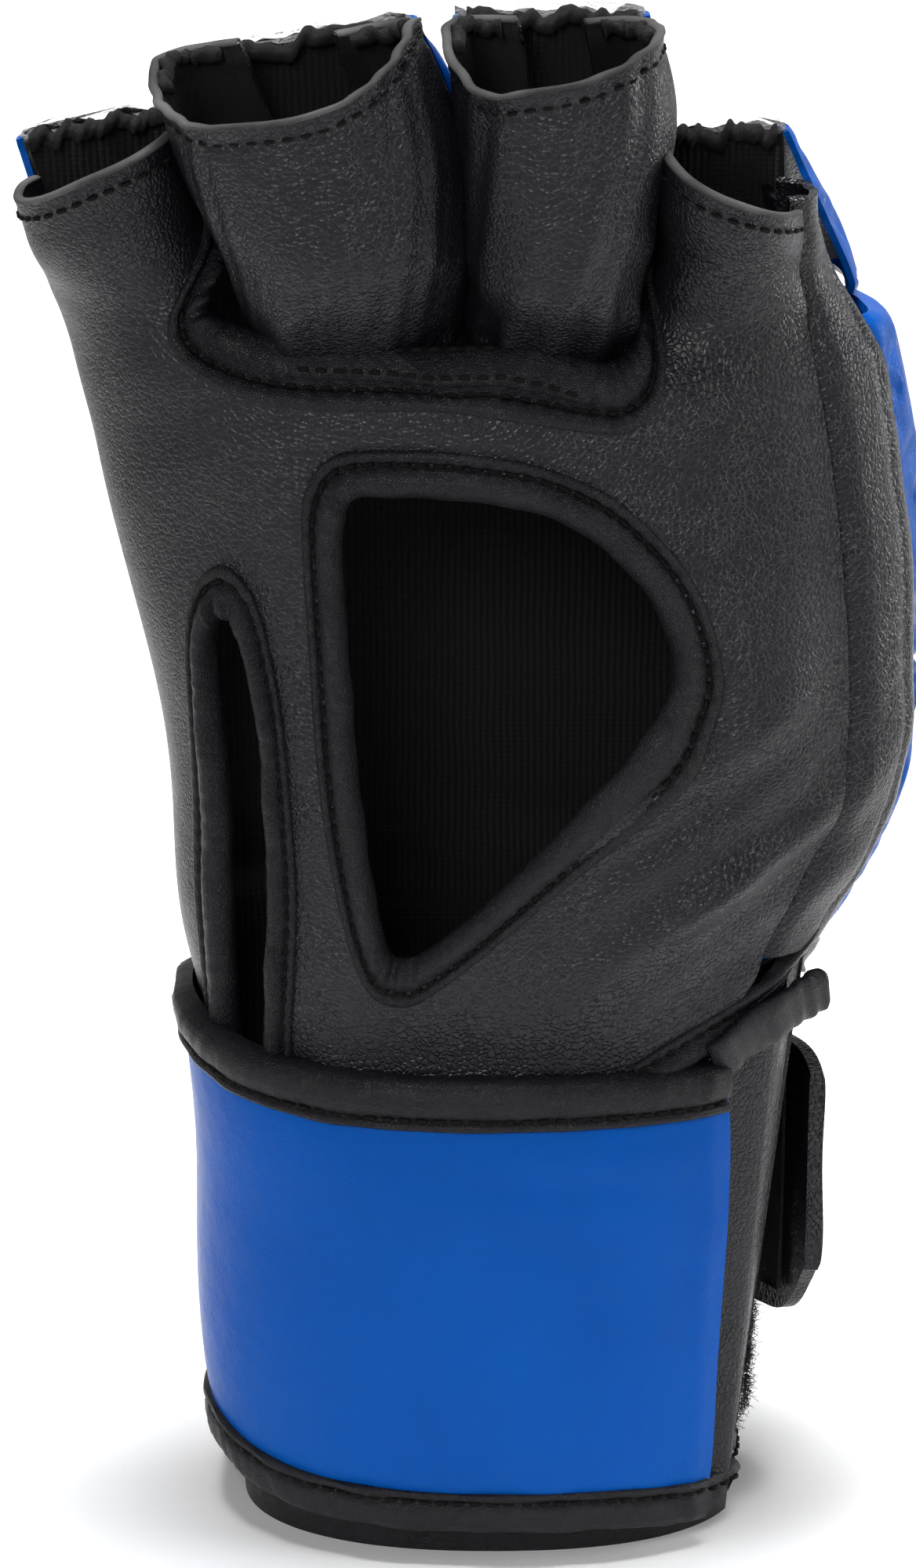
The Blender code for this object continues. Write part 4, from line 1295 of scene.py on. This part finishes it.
def make_pad_foam(pad):
    """The foam, whose cut white edge shows at the finger opening."""
    tube, count = pad.tube, 44
    angles = np.linspace(-90, 90, count)
    ups = [2.0, 12.0, pad.top * 0.6, pad.top - 4, pad.top - 0.5, pad.top + 1.0]
    rings = []
    for k, up in enumerate(ups):
        edge = k >= 4
        ruffle = 0.9 * ripple(angles * 0.3, 60 + len(pad.name), 7.0) if edge else 0 * angles
        outer = pad.shape(angles, np.full(count, up) + ruffle)
        outer = outer + unit(outer.mean(0) - outer) * (2.4, 2.4, 2.2, 1.6, 1.25, 1.6)[k]
        wide = tube.width(up) - 1.4
        across = np.linspace(wide, -wide, 24)
        height = np.full(24, up) + (0.9 * ripple(across, 80 + len(pad.name), 7.0) if edge else 0)
        rings.append(np.vstack([outer, tube.place(across, height, tube.rear(height) - 1.3)]))
    made = loft(f"{pad.name}_foam_edge", np.array(rings), FOAM, sharp=50)
    attach(made, pad.name, "foam", f"{pad.name}_pad_foam")


def make_finger_lining(pad):
    """The knit against the finger, and the fleece that curls over at its top edge."""
    tube, name, top = pad.tube, pad.name, pad.top

    def shape(share, up):
        share, up = np.asarray(share, float), np.asarray(up, float)
        wide = tube.width(up) - 2.6
        sag = 1.4 * (1 - share**2) + 3.0 * np.abs(share) ** 6
        ruffle = 0.9 * ripple(share * 14, 90 + len(name), 8.0) * smooth_step((up - top + 12) / 12)
        return tube.place(share * wide, up, tube.rear(up) - 1.2 + sag + ruffle)

    points = grid_points(shape, np.linspace(-1, 1, 48), np.linspace(-6, top - 0.6, 48))
    knit = grid_sheet(f"{name}_knit", points, 0.9, KNIT, tube.place(0.0, 20.0, -60.0))
    bend(knit, name, KNUCKLE[2] - 6, KNUCKLE[2] + 6, "knit_lining", f"{name}_lining")
    wide = 2 * MM * (float(tube.width(top / 2)) - 2.6)
    line = np.linspace(-0.97, 0.97, 90)
    rings = []
    for k in range(12):
        t = math.radians(k * 30)
        size = 1.5 + 0.55 * ripple(line * 16 + 0.4 * k, 120 + len(name), 3.4)
        up = top - 0.6 + 1.0 * ripple(line * 14, 100 + len(name), 8.0)
        rings.append(shape(line, up) + np.stack([0 * line, size * math.cos(t), size * math.sin(t)], axis=1))
    fleece = loft(f"{name}_fleece_edge", np.stack(rings, axis=1), FLEECE, sharp=None)
    attach(fleece, name, "knit_lining")


# ---------------------------------------------------------------- cuff and strap

STRAP_BOTTOM, STRAP_MIDDLE, STRAP_TOP = 4.8, 45.0, 85.4
BAND = 8.4  # height of the strap's binding
STRAP_FRONT_END = 50.0
STRAP_HINGE, TAB_HINGE, TAB_END = -118.0, -195.0, -276.0


def strap_top(angle):
    rise = 6.4 * hill(angle, -95, 45) - 0.4 * smooth_step((angle - 15) / 35)
    return STRAP_TOP + rise - 7.0 * smooth_step((-130 - angle) / 70)


def strap_bottom(angle):
    rise = 6.0 * hill(angle, -88, 34) - 1.5 * smooth_step((angle - 15) / 35)
    return STRAP_BOTTOM + rise + 19.0 * smooth_step((-130 - angle) / 70)


def tucked(angle):
    return -3.0 * smooth_step((-150 - angle) / 70)


def leaning(angle, z):
    """The strap's front end leans in towards the palm at its foot."""
    return angle - 3.6 * (1 - z / STRAP_TOP) * smooth_step((angle - 15) / 30)


def band(name, angles, profile, material, turn=lambda angle, z: angle + 0 * z):
    """A strip round the cuff. profile(angle) is a closed loop of (z, out) points, the same count at every angle."""
    rings = []
    for a in angles:
        loop = np.array(profile(a), float)
        rings.append(hand(turn(a, loop[:, 0]), loop[:, 0], loop[:, 1]))
    return loft(name, np.array(rings), material, sharp=60)


def rolled_edge(low, high, inner, outer, radius):
    """A rounded rectangle as (z, out) points."""
    r = min(radius, (outer - inner) / 2, (high - low) / 2)
    top, foot = high - r, low + r
    corners = ((top, outer - r, 0), (top, inner + r, 90), (foot, inner + r, 180), (foot, outer - r, 270))
    made = []
    for z, out, start in corners:
        for k in range(5):
            t = math.radians(start + k * 22.5)
            made.append((z + r * math.cos(t), out + r * math.sin(t)))
    return made


def strap_wave(angle, z):
    """The strap's soft waviness: how far it stands out."""
    wave = 0.5 * np.sin(np.radians(angle) * 3.1 + z / 23.0) + 0.4 * np.sin(z / 9.5 + np.radians(angle) * 1.7)
    crease = np.sin((z + angle * 0.12) / 1.9) * hill(z, 66, 7) * hill(angle, 14, 26)
    return wave + 0.3 * crease + 0.3 * hill(angle, 44, 3)


def panel_profile(angle):
    low, high = strap_bottom(angle) + BAND - 2.5, strap_top(angle) - BAND + 2.5
    zs = np.linspace(low, high, 34)
    swell = 1.1 * np.sqrt(np.clip(1 - (2 * (zs - low) / (high - low) - 1) ** 6, 0, 1))
    outer = [(z, 2.9 + s + strap_wave(angle, z)) for z, s in zip(zs, swell)]
    return outer + [(z, 0.5) for z in zs[::-1]]


EDGE_TAPE = (
    (0.0, 0.9), (0.05, 2.6), (0.14, 3.9), (0.28, 4.5), (0.45, 4.7), (0.62, 4.6), (0.70, 4.3), (0.75, 3.75),
    (0.79, 3.75), (0.83, 4.3), (0.9, 4.65), (0.97, 4.4), (1.0, 3.2),
)


def edge_tape_profile(angle, low, high, seam_at_top, seed):
    """Binding tape along a strap edge: a rounded edge, a stitch groove and a thin lip over the panel."""
    outer = []
    for share, height in EDGE_TAPE:
        z = low + (high - low) * share if seam_at_top else high - (high - low) * share
        crease = 0.28 * float(ripple(angle * 0.8 + 9 * share, seed, 14.0))
        crease += 0.12 * float(ripple(angle * 0.8 + 3 * share, seed + 4, 3.5)) * (share < 0.7)
        outer.append((z, height + crease + 0.6 * float(strap_wave(angle, z))))
    first, last = outer[0][0], outer[-1][0]
    return outer + [(last, 0.5), ((first + last) / 2, 0.4), (first, 0.5)]


def strap_seam(angles, low, high, seam_at_top):
    """The stitch line of a strap edge's tape, and its normals."""
    share, height = 0.77, 4.0
    zs = low(angles) + (high(angles) - low(angles)) * (share if seam_at_top else 1 - share)
    outs = height + 0.6 * strap_wave(angles, zs)
    angles = leaning(angles, zs)
    line = hand(angles, zs, outs)
    return line, unit(hand(angles, zs, outs + 1) - line)


def make_strap_stretch(prefix, start, end, moving, nodes):
    """A stretch of the strap: its blue panel and the tape on both edges. The loose stretch is passed to blend, the
    other is fixed to the hand.
    """
    angles = np.append(np.arange(start, end, -1.25), end)
    top_of_low, foot_of_high = (lambda a: strap_bottom(a) + BAND), (lambda a: strap_top(a) - BAND)
    taped = angles[angles <= STRAP_FRONT_END - 1]
    low_tape = lambda a: edge_tape_profile(a, strap_bottom(a), top_of_low(a), True, 201)
    high_tape = lambda a: edge_tape_profile(a, foot_of_high(a), strap_top(a), False, 202)
    made = [
        (band(f"{prefix}_blue_panel", angles, panel_profile, BLUE, turn=leaning), "blue_leather", nodes[0]),
        (band(f"{prefix}_bottom_tape", taped, low_tape, TAPE, turn=leaning), "black_tape", nodes[1]),
        (band(f"{prefix}_top_tape", taped, high_tape, TAPE, turn=leaning), "black_tape", nodes[2]),
    ]
    low_seam = strap_seam(taped, strap_bottom, top_of_low, True)
    high_seam = strap_seam(taped, foot_of_high, strap_top, False)
    made.append((stitches(f"{prefix}_bottom_stitches", *low_seam), "black_tape"))
    made.append((stitches(f"{prefix}_top_stitches", *high_seam), "black_tape"))
    for piece, slot_name, *node in made:
        if moving:
            blend(piece, hand(STRAP_HINGE + 6, STRAP_MIDDLE), hand(STRAP_HINGE - 10, STRAP_MIDDLE))
        else:
            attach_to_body(piece, "hand")
        dress(piece, slot_name, *node)


def make_strap():
    front = ("wrist_strap_panel", "wrist_strap_bottom_binding", "wrist_strap_top_binding")
    back = ("back_strap_panel", "back_strap_bottom_binding", "back_strap_top_binding")
    make_strap_stretch("front_strap", STRAP_FRONT_END, STRAP_HINGE + 8, None, front)
    make_strap_stretch("back_strap", STRAP_HINGE + 8, TAB_HINGE + 6, "back_strap", back)


def tab_out(angle):
    return 1.6 + 6.0 * smooth_step((-240 - angle) / 40)


def tab_edges(angle):
    corner = 13.0 * smooth_step((-254 - angle) / 22) ** 2
    return strap_bottom(angle) + 4 + corner, strap_top(angle) - 1 - corner * 0.1


def tab_lift(angle):
    """Offset of the tab's inner face, which starts on top of the strap's end."""
    return tab_out(angle) + 2.4 * smooth_step((angle - TAB_HINGE + 4) / 8)


def make_tab():
    angles = np.append(np.arange(TAB_HINGE + 8, TAB_END, -1.25), TAB_END)

    def profile(a):
        low, high = tab_edges(a)
        zs = np.linspace(low, high, 30)
        puff = 0.9 * np.sqrt(np.clip(1 - (2 * (zs - low) / (high - low) - 1) ** 4, 0, 1))
        wave = 0.3 * np.sin(zs / 6.0 + a / 9.0)
        lift = tab_lift(a)
        return [(z, lift + 1.9 + p + w) for z, p, w in zip(zs, puff, wave)] + [(z, lift) for z in zs[::-1]]

    root, clear = hand(TAB_HINGE + 4, STRAP_MIDDLE), hand(TAB_HINGE - 8, STRAP_MIDDLE)
    made = band("strap_tab_leather", angles, profile, BLACK)
    blend(made, root, clear)
    dress(made, "black_leather", "strap_tab")
    inner = np.arange(TAB_HINGE - 6, TAB_END + 5, -1.0)
    lows, highs = tab_edges(inner)
    lifts = tab_lift(inner) + 2.45
    low_line, high_line = hand(inner, lows + 3.5, lifts), hand(inner, highs - 3.5, lifts)
    end_line = hand(TAB_END + 5, np.linspace(lows[-1] + 3.5, highs[-1] - 3.5, 20), lifts[-1] + 0.3)
    line = spaced(np.vstack([low_line, end_line[1:-1], high_line[::-1]]), 1.0)
    normal = unit(line * (1, 1, 0) - (5.0, 1.0, 0))
    row = stitches("strap_tab_stitches", line, normal, radius=0.34)
    blend(row, root, clear)
    dress(row, "black_leather")


def cuff_offset(angle):
    """Offset of the cuff's outer face: under the palm's leather in front, and under its own flap at its far end."""
    front = smooth_step((52 - angle) / 8) * smooth_step((angle + 120) / 8)
    return tucked(angle) - 1.7 * front + 1.6 * hill(angle, 60.5, 4.5)


def cuff_top(angle):
    flap = smooth_step((angle - 42) / 10)
    back = smooth_step((-112 - angle) / 8)
    return 79.0 + flap * (8 + 14 * smooth_step((angle - 46) / 22)) + back * 20


def make_cuff():
    angles = np.append(np.arange(68.0, -300.0, -1.5), -300.0)
    wall = lambda a: rolled_edge(7.0, cuff_top(a), cuff_offset(a) - 1.4, cuff_offset(a), 0.7)
    shell = band("cuff_leather", angles, wall, BLACK)
    attach(shell, "hand", "black_leather", "gauntlet")

    def rim(a):
        out = tucked(a) + 1.2 + 0.3 * float(ripple(a * 0.8, 300, 9.0))
        return rolled_edge(0.0, 9.5, tucked(a) - 2.4, out, 1.7)

    rim_tape = band("cuff_rim_tape", angles, rim, TAPE)
    attach(rim_tape, "hand", "black_tape", "gauntlet_rim_binding")
    seam_angles, seam_z = np.arange(66.0, -298.0, -1.0), 7.4
    seam = hand(seam_angles, seam_z, tucked(seam_angles) + 1.45)
    normal = unit(hand(seam_angles, seam_z, tucked(seam_angles) + 2) - seam)
    attach(stitches("cuff_rim_stitches", seam, normal), "hand", "black_tape")


FIBRE_LENGTH, FIBRE_RADIUS = 1.5, 0.055


def fibres(name, anchors, directions, material, seed):
    """Loose curled fibres, each a thin bent tube."""
    draw = random.Random(seed)
    points, faces = [], []
    for anchor, way in zip(anchors, directions):
        size = FIBRE_LENGTH * draw.uniform(0.4, 1.4)
        sideways = unit(np.cross(way, [draw.uniform(-1, 1), draw.uniform(-1, 1), draw.uniform(-1, 1)]))
        first = len(points)
        turn = draw.uniform(1.0, 3.4)
        for k in range(6):
            t = k / 5 * turn
            centre = anchor + 1.6 * size * (way * math.sin(t) + sideways * (1 - math.cos(t))) / turn
            for corner in range(3):
                angle = corner * 2.094
                side = sideways * math.cos(angle) + np.cross(way, sideways) * math.sin(angle)
                points.append(centre + FIBRE_RADIUS * side)
        for k in range(5):
            for corner in range(3):
                a, b = first + 3 * k + corner, first + 3 * k + (corner + 1) % 3
                faces.append((a, b, b + 3, a + 3))
    return mesh_object(name, np.array(points), faces, material, sharp=None)


def make_closure():
    """The loop half of the closure on the cuff, with its fuzzy edge, and the hook half under the tab."""
    face = lambda a: rolled_edge(15.0, 80.0, tucked(a) + 0.1, tucked(a) + 1.4, 0.6)
    loop = band("loop_patch_pile", np.linspace(-206.0, -300.0, 60), face, LOOP)
    attach(loop, "hand", "hook_and_loop", "loop_patch")
    draw = random.Random(5)
    anchors, ways = [], []
    for _ in range(3200):
        a, z = draw.uniform(66, 92), draw.uniform(15, 80)
        base = hand(a, z, -1.4)
        out = unit(hand(a, z, 1.0) - base)
        anchors.append(base)
        ways.append(unit(out + np.array([draw.uniform(-0.7, 0.7) for _ in range(3)])))
    attach(fibres("loop_patch_fuzz", anchors, ways, LOOP, 9), "hand", "hook_and_loop")
    face = lambda a: rolled_edge(32.0, 70.0, tab_out(a) - 1.2, tab_out(a) - 0.1, 0.3)
    hook = band("hook_patch_face", np.linspace(-214, -262, 30), face, LOOP)
    attach(hook, "tab", "hook_and_loop", "hook_patch")


# ---------------------------------------------------------------- stage, light and camera


def stage_material():
    n = Nodes("pale_floor")
    grain = n.noise(40.0, 2.0)
    n.feed(n.shader.inputs["Base Color"], n.ramp(grain, [(0.3, grey(0.93)), (0.7, grey(0.95))]))
    return n.finish(Roughness=0.9, Specular_IOR_Level=0.2)


def area_light(name, location, target, size, power, size_y=None, spread=180):
    data = bpy.data.lights.new(name, "AREA")
    data.energy = power
    data.size = size
    data.spread = math.radians(spread)
    if size_y:
        data.shape = "RECTANGLE"
        data.size_y = size_y
    lamp = bpy.data.objects.new(name, data)
    lamp.location = location
    lamp.rotation_mode = "QUATERNION"
    lamp.rotation_quaternion = (Vector(target) - Vector(location)).to_track_quat("-Z", "Y")
    bpy.context.scene.collection.objects.link(lamp)


CAMERA_DISTANCE, CAMERA_ELEVATION, CAMERA_LENS = 0.85, 18.0, 119.34
CAMERA_TARGET = (0.0, 0.0, 125.0)  # in section coordinates
# Name, place, target, width, watts, height where the lamp isn't square, and spread in degrees.
LIGHTS = (
    ("back", (0.04, 1.17, 1.0), (0.04, 1.17, 0), 0.66, 9.4, 2.6, 34),
    ("front", (-0.3, -1.1, 0.8), (0, 0, 0.12), 0.45, 6.2),
    ("left", (-0.8, -0.4, 0.45), (0, 0, 0.13), 0.3, 0.45, 0.8),
    ("right", (0.8, -0.2, 0.4), (0, 0, 0.12), 0.3, 1.8, 0.7),
    ("right_rim", (0.85, 0.5, 0.22), (0.02, 0, 0.1), 0.25, 2.4, 0.5),
)


def make_studio():
    """A pale studio, brightest near the horizon and dimmer overhead."""
    world = bpy.data.worlds.new("studio")
    world.use_nodes = True
    tree = world.node_tree
    split = tree.nodes.new("ShaderNodeSeparateXYZ")
    tree.links.new(tree.nodes.new("ShaderNodeTexCoord").outputs["Generated"], split.inputs[0])
    fade = tree.nodes.new("ShaderNodeMapRange")
    fade.interpolation_type = "SMOOTHSTEP"
    tree.links.new(split.outputs["Z"], fade.inputs["Value"])
    for name, value in (("From Min", 0.16), ("From Max", 0.5), ("To Min", 0.8), ("To Max", 0.09)):
        fade.inputs[name].default_value = value
    background = tree.nodes["Background"]
    background.inputs["Color"].default_value = (1, 1, 1, 1)
    tree.links.new(fade.outputs["Result"], background.inputs["Strength"])
    bpy.context.scene.world = world


def make_stage():
    bpy.ops.mesh.primitive_plane_add(size=30)
    floor = bpy.context.object
    floor.name = "floor"
    floor.data.materials.append(stage_material())
    make_studio()
    for lamp in LIGHTS:
        area_light(*lamp)
    target = Vector(place(CAMERA_TARGET))
    e = math.radians(CAMERA_ELEVATION)
    data = bpy.data.cameras.new("camera")
    data.lens = CAMERA_LENS
    camera = bpy.data.objects.new("camera", data)
    back = Vector((0, -math.cos(e), math.sin(e)))
    camera.location = target + back * CAMERA_DISTANCE
    camera.rotation_mode = "QUATERNION"
    camera.rotation_quaternion = (-back).to_track_quat("-Z", "Y")
    bpy.context.scene.collection.objects.link(camera)
    bpy.context.scene.camera = camera
    bpy.context.scene.view_settings.view_transform = "Standard"


make_stage()
make_palm()
make_bindings()
for stall in ("middle", "ring"):
    make_stall(stall)
make_rims()
make_side_panel()
make_gusset()
make_back_pad()
make_piping()
make_lining()
for pad_name in FINGERS:
    make_finger_pad(pad_name)
make_strap()
make_tab()
make_cuff()
make_closure()
